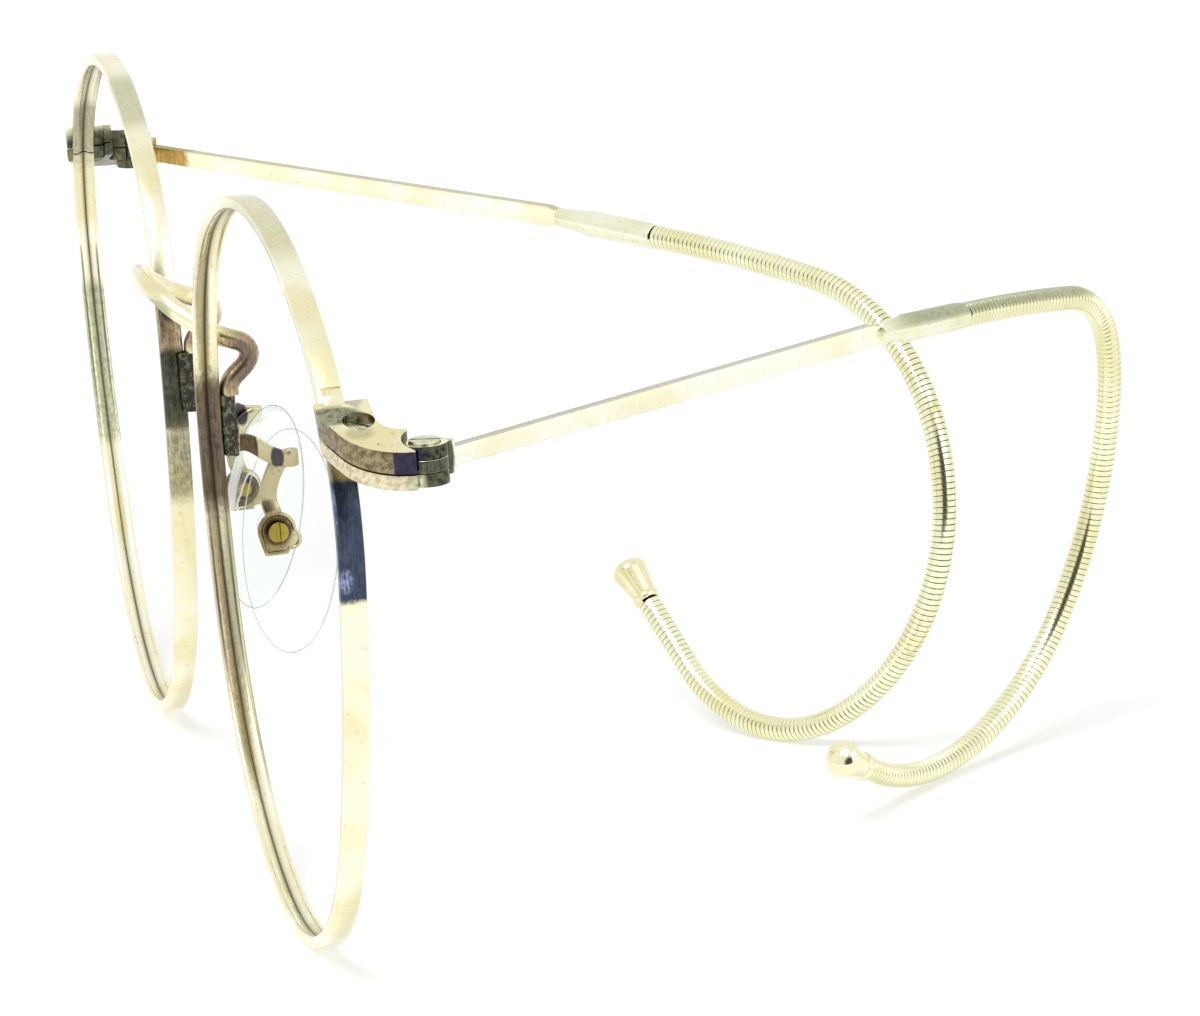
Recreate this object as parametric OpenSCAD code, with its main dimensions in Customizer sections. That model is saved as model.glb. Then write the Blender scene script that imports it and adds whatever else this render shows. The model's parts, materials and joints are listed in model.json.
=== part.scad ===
// Full rim metal eyeglass frame with a hooked saddle bridge, rocking pads and wound cable temples.
// X runs across the face, the front of the frame looks along -Y and the frame stands on z = 0.
// "Left" is the wearer's left, on the +X side. The two sides share every size but the temples' curl.

/* [Rims] */
// Height of the datum line, through the middle of the lenses, above the lowest point of the rims
datum_up = 26.4; // [25.5:0.1:27.5]
// Gap between the rims where they come closest
nose_gap = 15.7; // [15.2:0.1:20]
// Radial thickness of the rim wire
wire_thick = 0.85; // [0.7:0.05:1.1]
// Depth of the rim wire from front to back
wire_deep = 1.7; // [1.5:0.1:2.2]
// Depth of the lens groove in the inner face
groove_deep = 0.35; // [0.2:0.05:0.5]
// Opening of the lens groove
groove_wide = 0.9; // [0.5:0.1:1.2]
// Bevel on the outer edges of the wire
wire_bevel = 0.14; // [0.05:0.01:0.25]
// Radius of the outline from the bottom towards the temple
low_outer_r = 22.8; // [22:0.1:24]
// Radius of the outline at the side of the face
outer_r = 48.7; // [45:0.1:52]
// Radius of the upper outer shoulder
top_outer_r = 14.3; // [13.5:0.1:15]
// Radius along the top
top_r = 35.1; // [34:0.1:36]
// Radius of the upper inner shoulder
top_inner_r = 16.7; // [16:0.1:17.5]
// Turn of the first arc, from the bottom towards the temple
low_outer_turn = 58; // [57:0.5:59]
// Turn of the arc at the side of the face
outer_turn = 26; // [25:0.5:27]
// Turn of the upper outer shoulder
top_outer_turn = 61; // [60:0.5:62]
// Turn along the top
top_turn = 62; // [61:0.5:63]
// Turn of the upper inner shoulder
top_inner_turn = 59; // [58:0.5:60]
// Turn of the flat inner side, by the nose
inner_turn = 18; // [17:0.5:19]
// Turn of each rim about its own upright middle line, with the temple side backwards
face_wrap = 1.1; // [0:0.1:2]

/* [End pieces and hinges] */
// Direction of the outline, counted from the bottom, where the rim is split
split_turn = 120.3; // [117:0.1:123]
// Width of the split between the upper and lower halves
split_gap = 0.12; // [0.06:0.02:0.2]
// Slope of the end pieces, down towards the temples
lug_slope = 17; // [12:1:18]
// Thickness of the upper half of an end piece
lug_thick = 1.4; // [1.25:0.05:1.6]
// Thickness of the lower half of an end piece
lug_low = 0.95; // [0.85:0.05:1.2]
// Distance the end pieces stand in front of the rims' middle
lug_fore = 0.75; // [0.6:0.05:0.9]
// Distance from the rim to the centre of the end piece's turn from the front to the side
lug_root = 1.33; // [1.1:0.01:1.6]
// Inner radius of that turn
bend_r = 1.6; // [1.3:0.1:2]
// Width of an end piece
lug_wide = 2.9; // [2.7:0.1:3.4]
// Distance the centre of the turn lies behind the middle of the rim wire
bend_back = 4.35; // [4.2:0.05:4.8]
// Distance the hinge lies behind the centre of the turn
hinge_back = 0.85; // [0.7:0.05:1.1]
// Height of the three knuckles together
knuckle_stack = 2.6; // [2.4:0.1:3.2]
// Play between two knuckles
knuckle_play = 0.06; // [0.04:0.01:0.1]
// Radius of the hinge and closing screws
screw_r = 0.5; // [0.4:0.05:0.6]
// Radius of the screw heads
head_r = 1; // [0.85:0.05:1.1]
// Thickness of the screw heads
head_thick = 0.4; // [0.3:0.05:0.5]
// Play round a screw
screw_play = 0.04; // [0.02:0.01:0.08]

/* [Bridge and solder blocks] */
// Thickness of the bridge wire
bridge_wire = 1.4; // [1.1:0.1:1.6]
// Distance the crest of the bridge stands in front of the rims' middle
crest_fore = 3.1; // [2.8:0.1:4]
// Height of the crest above the datum line
crest_up = 13.5; // [12.8:0.1:15]
// Half length of the straight part of the crest
crest_half = 3.4; // [2.5:0.1:4]
// Distance the hooks stand behind the rims' middle
hook_back = 2.8; // [2.5:0.1:3.2]
// Height of the top of the hooks above the datum line
hook_up = 10.2; // [9.8:0.1:10.6]
// Height of the solder blocks' lower end above the datum line
block_up = 1.9; // [1:0.1:2.4]
// Height of the solder blocks
block_tall = 4.5; // [4:0.1:5.2]
// Width of the solder blocks
block_wide = 1.6; // [1.3:0.1:2]
// Distance from the rims' middle to the solder blocks' rear face
block_back = 1.5; // [1.3:0.1:1.8]

/* [Pads] */
// Length of a pad
pad_long = 16.3; // [14:0.1:17]
// Width of a pad
pad_wide = 7.4; // [6.8:0.2:8]
// Thickness of a pad
pad_thick = 1.6; // [1.2:0.1:2]
// Turn of the pads away from straight back
pad_splay = 30; // [20:1:36]
// Tilt of the pads' tops towards the nose
pad_tilt = 12; // [8:1:15]
// Thickness of the flat pad arm
strap_thick = 0.45; // [0.35:0.05:0.5]
// Width of the flat pad arm
strap_wide = 1.2; // [1:0.1:1.4]
// Distance the pad arm reaches back from the solder block
strap_back = 4.1; // [3.8:0.1:4.6]
// Radius of the eyelet at the lower end of the pad arm
eyelet_r = 1.4; // [1.3:0.05:1.5]
// Distance of the pad's screw below the datum line
pad_screw_down = 4.1; // [3.9:0.1:4.4]
// Radius of the pad's screw head
pad_head_r = 0.73; // [0.68:0.05:0.83]

/* [Temples] */
// Length of a temple from the hinge to the end of the blade
blade_len = 48; // [42:1:54]
// Thickness of a blade
blade_thick = 0.8; // [0.7:0.05:1]
// Height of a blade at the hinge
blade_fore = 1.25; // [1.1:0.05:1.4]
// Height of a blade at its rear end
blade_rear = 1.63; // [1.45:0.05:1.9]
// Slope of the blades below level
blade_drop = 1.85; // [1:0.05:2.2]
// Fold of the left temple towards the nose
fold_left = 38.7; // [36:0.1:40]
// Fold of the right temple towards the nose
fold_right = 55.9; // [54:0.1:58]
// Lean of the curls towards the nose
curl_lean = 10.2; // [9:0.1:11]
// Length of the ferrule between the blade and the cable
ferrule_len = 10; // [8:0.5:11]
// Outer diameter of the wound cable
cable_d = 1.75; // [1.5:0.05:1.8]
// Bore of the winding
cable_bore = 1.1; // [1.05:0.05:1.2]
// Diameter of the core wire
core_d = 0.84; // [0.7:0.02:0.88]
// Depth of the grooves between the turns of the winding
rib_deep = 0.14; // [0.08:0.01:0.2]
// Largest diameter of the end beads
bead_d = 2.7; // [2.4:0.1:3]
// Length of the end beads with their collar
bead_len = 3.8; // [3.4:0.1:4.4]

/* [Stance] */
// Backward tilt of the front when the frame stands on rims and curls
stance = 1.116; // [0.9:0.01:1.3]

/* [Hidden] */
$fn = 72;
rim_step = 4;
wire_section = [
    [0, wire_bevel - wire_deep / 2], [0, wire_deep / 2 - wire_bevel], [-wire_bevel, wire_deep / 2],
    [-wire_thick, wire_deep / 2], [-wire_thick, groove_wide / 2], [groove_deep - wire_thick, 0],
    [-wire_thick, -groove_wide / 2], [-wire_thick, -wire_deep / 2], [-wire_bevel, -wire_deep / 2]
];

// The curls, from the ferrule on: each step is a length and the angle that it turns downwards
left_start = 2.4;
left_route = [
    [cable_d, 0], [11.8, 4.4], [7.6, 58.6], [3.9, 15.4], [17.8, 38.2], [24.7, 85.5], [cable_d, 0]
];
left_ribs = 86;
right_start = 2;
right_route = [
    [cable_d, 0], [14.2, 5], [11.8, 41.7], [14.3, 47.3], [16.8, 54.7], [15.6, 71.9], [6.1, 0]
];
right_ribs = 100;
wound_sides = 8;
bore_step = 1.25;

// The outline of a rim: seven arcs that meet without a corner
rim_turns = [
    low_outer_turn, outer_turn, top_outer_turn, top_turn, top_inner_turn, inner_turn,
    360 - low_outer_turn - outer_turn - top_outer_turn - top_turn - top_inner_turn - inner_turn
];
function total(v, n) = n <= 0 ? 0 : v[n - 1] + total(v, n - 1);
rim_heads = [for (i = [0 : 7]) total(rim_turns, i)];
function unit_step(head, turn) = [sin(head + turn) - sin(head), cos(head) - cos(head + turn)];
set_radii = [low_outer_r, outer_r, top_outer_r, top_r, top_inner_r];
function reached(n) = n == 0 ? [0, 0]
    : reached(n - 1) + set_radii[n - 1] * unit_step(rim_heads[n - 1], rim_turns[n - 1]);

// The last two radii close the outline
to_close = -reached(5);
step_a = unit_step(rim_heads[5], rim_turns[5]);
step_b = unit_step(rim_heads[6], rim_turns[6]);
det = step_a[0] * step_b[1] - step_a[1] * step_b[0];
inner_r = (to_close[0] * step_b[1] - to_close[1] * step_b[0]) / det;
low_inner_r = (step_a[0] * to_close[1] - step_a[1] * to_close[0]) / det;
rim_radii = concat(set_radii, [inner_r, low_inner_r]);
function rim_joint(i) = i == 0 ? [0, 0]
    : rim_joint(i - 1) + rim_radii[i - 1] * unit_step(rim_heads[i - 1], rim_turns[i - 1]);
function outline_at(head, i = 0) = i == 6 || head <= rim_heads[i + 1]
    ? rim_joint(i) + rim_radii[i] * unit_step(rim_heads[i], head - rim_heads[i])
    : outline_at(head, i + 1);

// Places on the front, measured from the datum line
rim_x = nose_gap / 2 - outline_at(270)[0];
nose_x = nose_gap / 2;
nose_y = -(rim_x - nose_x) * sin(face_wrap);
split_at = outline_at(split_turn) + [rim_x, -datum_up];
bend_x = split_at[0] + lug_root;
lug_r = bend_r + lug_wide;
hinge = [
    bend_x + bend_r + lug_wide / 2,
    bend_back + hinge_back,
    split_at[1] - (lug_root + bend_r + lug_wide / 2) * tan(lug_slope) - 0.05
];
knuckle_r = lug_wide / 2;
knuckle_tall = (knuckle_stack - 2 * knuckle_play) / 3;
clear_r = knuckle_r + 0.15;
closing_at = [bend_x, bend_back - bend_r - lug_wide / 2 + 0.35];
closing_seat = split_at[1] - lug_root * tan(lug_slope) + lug_thick - head_thick - 0.15;
stand_h = datum_up * cos(stance) + wire_deep / 2 * sin(stance);

// Pads
strap_x = nose_x + 0.15;
fold_x = strap_x - 0.7;
pad_screw = [fold_x + 0.2, 3.9, -pad_screw_down];
eyelet_in = pad_screw[0] - strap_thick / 2;
pad_screw_r = 0.5;
pad_mid = [pad_screw[0] - 1.9, pad_screw[1] + 1.2, pad_screw[2] - 1.3];
pad_bevel = 0.35;
boss_r = 1;

// Bridge route, from the top of the left solder block to the middle
block_top = block_up + block_tall;
block_x = nose_x + 0.2;
hook_seat = nose_y + (wire_deep + bridge_wire) / 2 + 0.06;
function hook_at(out, up) =
    [block_x, hook_seat + out * (hook_back - hook_seat), block_top + up * (hook_up - block_top)];
hook = [
    [block_x, hook_seat, block_top + 0.03],
    hook_at(0, 0.09),
    hook_at(0.05, 0.18),
    hook_at(0.22, 0.3),
    hook_at(0.52, 0.42),
    hook_at(0.82, 0.55),
    hook_at(0.98, 0.7),
    hook_at(0.93, 0.84),
    hook_at(0.67, 0.96),
    hook_at(0.22, 1.04),
    [block_x - 0.35, 0.4, hook_up + 0.6],
    [crest_half + 3.3, -0.8, crest_up - 1.95],
    [crest_half + 2.2, 0.4 - crest_fore * 0.78, crest_up - 1.05],
    [crest_half + 1, 0.4 - crest_fore, crest_up - 0.35],
    [crest_half - 0.6, -crest_fore + 0.08, crest_up - 0.05]
];

// Vector helpers
function unit(v) = v / norm(v);
function turned_x(p, a) = [p[0], p[1] * cos(a) - p[2] * sin(a), p[1] * sin(a) + p[2] * cos(a)];
function turned_y(p, a) = [p[0] * cos(a) + p[2] * sin(a), p[1], p[2] * cos(a) - p[0] * sin(a)];
function turned_z(p, a) = [p[0] * cos(a) - p[1] * sin(a), p[0] * sin(a) + p[1] * cos(a), p[2]];

// A flat route of straight and curved steps: where each begins, and the point at any distance along it
function chord(length, turn) = turn == 0 ? length : length * sin(turn / 2) / (turn * PI / 360);
function step_by(head, length, turn) = chord(length, turn) * [cos(head + turn / 2), sin(head + turn / 2)];
function begins(route, at, head, i = 0) = i == len(route) ? [[at, head]]
    : concat([[at, head]],
        begins(route, at + step_by(head, route[i][0], route[i][1]), head + route[i][1], i + 1));
function spot(route, from, s, i = 0) = i == len(route) - 1 || s <= route[i][0]
    ? let (turn = route[i][1] * s / route[i][0])
        [from[i][0] + step_by(from[i][1], s, turn), from[i][1] + turn]
    : spot(route, from, s - route[i][0], i + 1);
function route_len(route) = total([for (step = route) step[0]], len(route));

// A curl starts at the end of its ferrule, in the plane of the blade
function ferrule_end(start) = ferrule_len * [cos(start), sin(start)];
left_from = begins(left_route, ferrule_end(left_start), left_start);
right_from = begins(right_route, ferrule_end(right_start), right_start);

// The middle of the standing frame lies over the origin
function on_table(flat, fold) = turned_x(
    turned_z(turned_x(turned_y([0, blade_len + flat[0], -flat[1]], curl_lean), -blade_drop), fold)
        + hinge, -stance);
function curl_points(route, from, fold) = [
    for (s = [0 : 1 : route_len(route)]) on_table(spot(route, from, s)[0], fold)
];
curl_left_points = curl_points(left_route, left_from, fold_left);
curl_right_points = curl_points(right_route, right_from, fold_right);
rear_y = max([for (p = concat(curl_left_points, curl_right_points)) p[1]]) + cable_d / 2;
fore_y = turned_x([0, -crest_fore, crest_up], -stance)[1] - bridge_wire / 2;
middle_y = (rear_y + fore_y) / 2;

// Least gap of each curl to itself, between points more than twelve millimetres apart along it
function self_gap(p) = min([
    for (i = [0 : len(p) - 1]) for (j = [i + 12 : 1 : len(p) - 1]) norm(p[i] - p[j])
]) - cable_d;
echo(left_curl_gap = self_gap(curl_left_points), right_curl_gap = self_gap(curl_right_points));
echo(left_lowest = min([for (p = curl_left_points) p[2]]) - cable_d / 2 + stand_h);
echo(right_lowest = min([for (p = curl_right_points) p[2]]) - cable_d / 2 + stand_h);

// A smooth route through hand placed points
function blend(p, q, r, s, t) = 0.5 * (2 * q + (r - p) * t + (2 * p - 5 * q + 4 * r - s) * t * t
    + (3 * q - p - 3 * r + s) * t * t * t);
function smooth(p, n) = concat([
    for (i = [0 : len(p) - 2]) for (k = [0 : n - 1])
        blend(i == 0 ? 2 * p[0] - p[1] : p[i - 1], p[i], p[i + 1],
            i == len(p) - 2 ? 2 * p[i + 1] - p[i] : p[i + 2], k / n)
], [p[len(p) - 1]]);

// A solid of one cross section carried along a route; side is the section's first axis at the start
function heads_along(p) = [
    for (i = [0 : len(p) - 1]) unit(p[min(i + 1, len(p) - 1)] - p[max(i - 1, 0)])
];
function squared(v, t) = unit(v - (v * t) * t);
function carried(t, v, i = 0) = i == len(t) ? []
    : let (s = squared(v, t[i])) concat([s], carried(t, s, i + 1));
module sweep(route, section, side) {
    heads = heads_along(route);
    sides = carried(heads, side);
    n = len(section);
    m = len(route);
    points = [
        for (i = [0 : m - 1]) for (c = section) route[i] + c[0] * sides[i] + c[1] * cross(heads[i], sides[i])
    ];
    skin = [
        for (i = [0 : m - 2]) for (j = [0 : n - 1])
            let (a = i * n + j, b = i * n + (j + 1) % n)
                each [[a, a + n, b], [b, a + n, b + n]]
    ];
    ends = [for (j = [1 : n - 2]) each [[0, j, j + 1], [(m - 1) * n, (m - 1) * n + j + 1, (m - 1) * n + j]]];
    polyhedron(points = points, faces = concat(skin, ends));
}
function ring(r, n) = [for (j = [0 : n - 1]) r * [cos(360 * j / n), sin(360 * j / n)]];

// The front stands a little tilted; the right side mirrors the left
module stand() {
    translate([0, -middle_y, stand_h])
        rotate([-stance, 0, 0])
            children();
}
module left() {
    stand() children();
}
module right() {
    stand() mirror([1, 0, 0]) children();
}

// Everything that is drawn in the plane of a rim, from its lowest point
module on_rim() {
    translate([rim_x, 0, -datum_up])
        rotate([0, 0, face_wrap])
            rotate([90, 0, 0])
                children();
}
module along_arc(i) {
    translate(rim_joint(i) + rim_radii[i] * [-sin(rim_heads[i]), cos(rim_heads[i])])
        rotate([0, 0, rim_heads[i] - 90])
            rotate_extrude(angle = rim_turns[i])
                translate([rim_radii[i], 0])
                    children();
}
module rim_wire() {
    heads = [for (h = [0 : rim_step : 359]) h];
    n = len(wire_section);
    m = len(heads);
    points = [
        for (h = heads) for (c = wire_section)
            let (p = outline_at(h) + c[0] * [sin(h), -cos(h)]) [p[0], p[1], c[1]]
    ];
    skin = [
        for (i = [0 : m - 1]) for (j = [0 : n - 1])
            let (a = i * n + j, b = i * n + (j + 1) % n, up = ((i + 1) % m - i) * n)
                each [[a, b, a + up], [b, b + up, a + up]]
    ];
    polyhedron(points = points, faces = skin);
}

// The tilted layer between two heights above the split
module layer(low, high, reach) {
    translate([split_at[0], 0, split_at[1]])
        rotate([0, lug_slope, 0])
            translate([-reach, -10, low])
                cube([reach + 12, 20, high - low]);
}
module rim() {
    difference() {
        on_rim() rim_wire();
        layer(-split_gap / 2, split_gap / 2, 3);
    }
}

// The plan of an end piece, tall enough for its layer to be cut from it
module lug_plan() {
    tall = 8;
    low = split_at[1] - 5;
    translate([bend_x, bend_back, low])
        rotate([0, 0, -105])
            rotate_extrude(angle = 105)
                translate([bend_r, 0])
                    square([lug_wide, tall]);
    translate([0, 0, low])
        linear_extrude(tall)
            polygon([
                [split_at[0] - 1.2, -lug_fore], [split_at[0] + 0.4, -lug_fore],
                [bend_x + 1.2, bend_back - sqrt(pow(lug_r, 2) - 1.44)],
                [bend_x, bend_back - bend_r], [split_at[0] - 1.2, bend_back - bend_r]
            ]);
}

// Solder fillet that runs up and down the rim from the end piece
module rim_foot(low, high) {
    intersection() {
        on_rim()
            along_arc(2)
                translate([0, 0.1 - wire_deep / 2])
                    square([0.45, wire_deep - 0.35]);
        layer(low, high, 4);
    }
}
module wire_space() {
    on_rim()
        along_arc(2)
            translate([-wire_thick - 1, -wire_deep])
                square([wire_thick + 1, 2 * wire_deep]);
}
module knuckle(low, high) {
    translate([hinge[0], hinge[1], hinge[2] + low])
        cylinder(r = knuckle_r, h = high - low);
}
module hinge_cut(r, low, high) {
    translate([hinge[0], hinge[1], hinge[2] + low])
        cylinder(r = r, h = high - low);
}
module closing_cut(r, low, high) {
    translate([closing_at[0], closing_at[1], low])
        cylinder(r = r, h = high - low);
}
module end_piece_upper() {
    mid = knuckle_tall / 2 + knuckle_play;
    top = knuckle_stack / 2;
    difference() {
        union() {
            intersection() {
                lug_plan();
                layer(split_gap / 2, lug_thick, 3);
            }
            rim_foot(split_gap / 2, lug_thick + 0.55);
            knuckle(mid, top);
        }
        wire_space();
        hinge_cut(clear_r, -3, mid);
        hinge_cut(knuckle_r + 0.01, top, top + 3);
        hinge_cut(screw_r + screw_play / 2, 0, top + 1);
        hinge_cut(head_r + screw_play, top - head_thick / 2, top + 1);
        closing_cut(screw_r + screw_play, closing_seat - 4, closing_seat + 4);
        closing_cut(head_r + screw_play, closing_seat, closing_seat + 4);
    }
}
module end_piece_lower() {
    mid = knuckle_tall / 2 + knuckle_play;
    low = -knuckle_stack / 2;
    difference() {
        union() {
            intersection() {
                lug_plan();
                layer(-lug_low, -split_gap / 2, 3);
            }
            knuckle(low, -mid);
        }
        wire_space();
        hinge_cut(clear_r, -mid, 3);
        hinge_cut(knuckle_r + 0.01, low - 3, low);
        hinge_cut(screw_r + screw_play / 2, low - 1, 0);
        closing_cut(screw_r + screw_play / 2, closing_seat - 5, closing_seat);
    }
}
module screw(low, seat, head, r) {
    difference() {
        union() {
            translate([0, 0, low])
                cylinder(r = screw_r, h = seat - low);
            translate([0, 0, seat])
                cylinder(r = r, h = head);
        }
        translate([-r - 1, -0.15, seat + head * 0.55])
            cube([2 * r + 2, 0.3, head]);
    }
}
module closing_screw() {
    low = head_thick + 0.2 - lug_thick - lug_low;
    translate([closing_at[0], closing_at[1], closing_seat])
        rotate([0, 0, 25])
            screw(low, 0, head_thick, head_r);
}
module hinge_screw() {
    translate(hinge)
        rotate([0, 0, 70])
            screw(-knuckle_stack / 2, knuckle_stack / 2 - head_thick / 2, head_thick, head_r);
}

// Bridge, solder blocks and pad arms
module bridge() {
    half = smooth(concat(hook, [[0, -crest_fore, crest_up]]), 3);
    other = [for (i = [len(half) - 2 : -1 : 0]) [-half[i][0], half[i][1], half[i][2]]];
    sweep(concat(half, other), ring(bridge_wire / 2, 10), [1, 0, 0]);
}
module block() {
    difference() {
        translate([block_x - block_wide / 2, nose_y + 0.35, block_up])
            cube([block_wide, block_back - nose_y - 0.35, block_tall]);
        on_rim()
            for (i = [4 : 6])
                along_arc(i)
                    translate([-3, -wire_deep / 2])
                        square([3, wire_deep]);
    }
}
module pad_arm() {
    back = block_back + strap_back;
    top = pad_screw[2] + eyelet_r;
    fold_r = (strap_x - fold_x) / 2;
    turn = back - fold_r;
    part = fold_r * cos(45);
    route = smooth([
        [strap_x, block_back + 0.03, 2.75],
        [strap_x, block_back + 0.3, 2.75],
        [strap_x, block_back + 0.7, 2.68],
        [strap_x, block_back + 1.3, 2.35],
        [strap_x, block_back + 2, 1.8],
        [strap_x, block_back + 2.7, 1.42],
        [strap_x, turn - 0.4, 1.24],
        [strap_x, turn, 1.2],
        [fold_x + fold_r + part, turn + part, 1.2],
        [fold_x + fold_r, back, 1.2],
        [fold_x + fold_r - part, turn + part, 1.2],
        [fold_x, turn, 1.2],
        [fold_x, turn - 0.4, 1.1],
        [fold_x, pad_screw[1] + 0.45, 0.75],
        [fold_x, pad_screw[1] + 0.05, 0.1],
        [fold_x, pad_screw[1] - 0.3, -0.8],
        [fold_x, pad_screw[1] - 0.43, -1.6],
        [fold_x + 0.08, pad_screw[1] - 0.38, top + 0.55],
        [fold_x + 0.18, pad_screw[1] - 0.25, top + 0.15],
        [pad_screw[0], pad_screw[1] - 0.15, top - 0.15]
    ], 3);
    section = [
        [-strap_thick, -strap_wide] / 2, [strap_thick, -strap_wide] / 2,
        [strap_thick, strap_wide] / 2, [-strap_thick, strap_wide] / 2
    ];
    difference() {
        union() {
            sweep(route, section, [1, 0, 0]);
            translate([eyelet_in, pad_screw[1], pad_screw[2]])
                rotate([90, 0, 90])
                    linear_extrude(strap_thick)
                        eyelet();
        }
        pad_turned(eyelet_in - 1, eyelet_in + 2, pad_screw_r + screw_play);
    }
}

// The eyelet has a straight lower edge and a round lobe at its rear
module eyelet() {
    hull() {
        circle(r = eyelet_r);
        translate([-0.7 * eyelet_r, -1.25 * eyelet_r])
            square([1.2 * eyelet_r, eyelet_r]);
    }
    translate([0.7 * eyelet_r, -0.5 * eyelet_r])
        circle(r = 0.55 * eyelet_r);
}

// A round piece on the axis of the pad's screw, between two places along X
module pad_turned(low, high, r) {
    translate([low, pad_screw[1], pad_screw[2]])
        rotate([0, 90, 0])
            cylinder(r = r, h = high - low);
}
module pad_outline(inset) {
    scale([pad_wide / 2 - inset, pad_long / 2 - inset])
        circle(r = 1);
}
module pad() {
    difference() {
        union() {
            translate(pad_mid)
                rotate([0, 0, -pad_splay])
                    rotate([0, -pad_tilt, 0])
                        rotate([90, 0, 90])
                            translate([0, 0, -pad_thick / 2]) {
                                linear_extrude(pad_thick) pad_outline(pad_bevel);
                                translate([0, 0, pad_bevel])
                                    linear_extrude(pad_thick - 2 * pad_bevel) pad_outline(0);
                            }
            pad_turned(pad_mid[0] + 0.2, eyelet_in - screw_play, boss_r);
        }
        pad_turned(eyelet_in - 1.1, eyelet_in + 1, pad_screw_r + screw_play / 4);
    }
}
module pad_screw() {
    out = eyelet_in + strap_thick + screw_play;
    difference() {
        union() {
            pad_turned(eyelet_in - 1, out, pad_screw_r);
            pad_turned(out, out + 0.45, pad_head_r);
        }
        translate([out + 0.25, pad_screw[1] - 0.14, pad_screw[2] - 2])
            cube([1, 0.28, 4]);
    }
}

// Temples: the knuckle turns level, the blade slopes, the curl leans
module folded(fold) {
    translate(hinge) rotate([0, 0, fold]) children();
}
module blade() {
    butt = clear_r + 0.02;
    neck = blade_rear * 0.7;
    difference() {
        union() {
            translate([0, 0, -knuckle_tall / 2]) {
                cylinder(r = knuckle_r, h = knuckle_tall);
                translate([-blade_thick / 2, 0, 0])
                    cube([blade_thick, butt + 0.3, knuckle_tall]);
            }
            translate([-blade_thick * 0.7, butt, -knuckle_stack * 0.42])
                cube([blade_thick * 1.4, 0.65, knuckle_stack * 0.84]);
            rotate([-blade_drop, 0, 0])
                translate([-blade_thick / 2, 0, 0])
                    rotate([90, 0, 90])
                        linear_extrude(blade_thick)
                            polygon([
                                [butt + 0.3, -blade_fore / 2], [blade_len - 1, -blade_rear / 2],
                                [blade_len, -neck / 2], [blade_len, neck / 2],
                                [blade_len - 1, blade_rear / 2], [butt + 0.3, blade_fore / 2]
                            ]);
        }
        translate([0, 0, -knuckle_stack])
            cylinder(r = screw_r + screw_play, h = 2 * knuckle_stack);
    }
}

// The plane of the curl: X along the blade, Y down
module in_curl_plane() {
    rotate([-blade_drop, 0, 0])
        translate([0, blade_len, 0])
            rotate([0, curl_lean, 0])
                rotate([0, -90, 0])
                    rotate([0, 0, 90])
                        children();
}
module ferrule(start) {
    in_curl_plane()
        difference() {
            rotate([0, 0, start])
                rotate([0, 90, 0])
                    rotate_extrude()
                        polygon([
                            [0, -0.2], [cable_d * 0.4, -0.2], [cable_d * 0.42, 0.2],
                            [cable_d * 0.5, ferrule_len * 0.28], [cable_d * 0.56, ferrule_len * 0.32],
                            [cable_d * 0.56, ferrule_len - 0.8], [cable_d * 0.53, ferrule_len],
                            [0, ferrule_len]
                        ]);
            translate([-2, -2, -2])
                cube([2, 4, 4]);
        }
}
module core(route, from) {
    length = route_len(route);
    steps = ceil(length / bore_step);
    line = [for (k = [0 : steps]) let (p = spot(route, from, length * k / steps)[0]) [p[0], p[1], 0]];
    in_curl_plane()
        sweep(line, ring(core_d / 2, wound_sides), [0, 0, 1]);
}

// The winding is one tube: two rings to each turn outside, and a plain bore
function wound_ring(place, r) = [
    for (c = ring(r, wound_sides))
        [place[0][0] - c[0] * sin(place[1]), place[0][1] + c[0] * cos(place[1]), c[1]]
];
module winding(route, from, ribs) {
    length = route_len(route);
    bore_steps = ceil(length / bore_step);
    outer = 2 * ribs;
    n = wound_sides;
    shift = (outer + 1) * n;
    points = concat(
        [for (k = [0 : outer])
            each wound_ring(spot(route, from, length * k / outer), cable_d / 2 - (k % 2 == 0 ? rib_deep : 0))],
        [for (k = [0 : bore_steps])
            each wound_ring(spot(route, from, length * k / bore_steps), cable_bore / 2)]
    );
    skin = [
        for (k = [0 : outer - 1]) for (j = [0 : n - 1])
            let (a = k * n + j, b = k * n + (j + 1) % n) each [[a, b, a + n], [b, b + n, a + n]]
    ];
    bore = [
        for (k = [0 : bore_steps - 1]) for (j = [0 : n - 1])
            let (a = shift + k * n + j, b = shift + k * n + (j + 1) % n) each [[a, a + n, b], [b, a + n, b + n]]
    ];
    ends = [
        for (j = [0 : n - 1])
            let (k = (j + 1) % n, a = outer * n, b = shift + bore_steps * n) each [
                [j, shift + j, k], [k, shift + j, shift + k],
                [a + j, a + k, b + j], [a + k, b + k, b + j]
            ]
    ];
    in_curl_plane()
        polyhedron(points = points, faces = concat(skin, bore, ends));
}
module bead(route, from) {
    last = from[len(route)];
    in_curl_plane()
        translate(last[0])
            rotate([0, 0, last[1]])
                rotate([0, 90, 0])
                    rotate_extrude() {
                        polygon([
                            [0, 0], [cable_d * 0.55, 0], [cable_d * 0.6, 0.15], [cable_d * 0.6, 0.5],
                            [cable_d * 0.54, 0.62], [bead_d * 0.485, bead_len - bead_d * 0.42],
                            [bead_d / 2, bead_len - bead_d * 0.34], [0, bead_len - bead_d * 0.34]
                        ]);
                        intersection() {
                            translate([0, bead_len - bead_d * 0.34])
                                scale([1, 0.68])
                                    circle(d = bead_d);
                            translate([0, bead_len - bead_d * 0.34 - 0.01])
                                square(bead_d);
                        }
                    }
}

gold = [0.93, 0.89, 0.66];
dark = [0.30, 0.30, 0.24];
brass = [0.85, 0.74, 0.28];
clear = [0.82, 0.92, 0.88];

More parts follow.
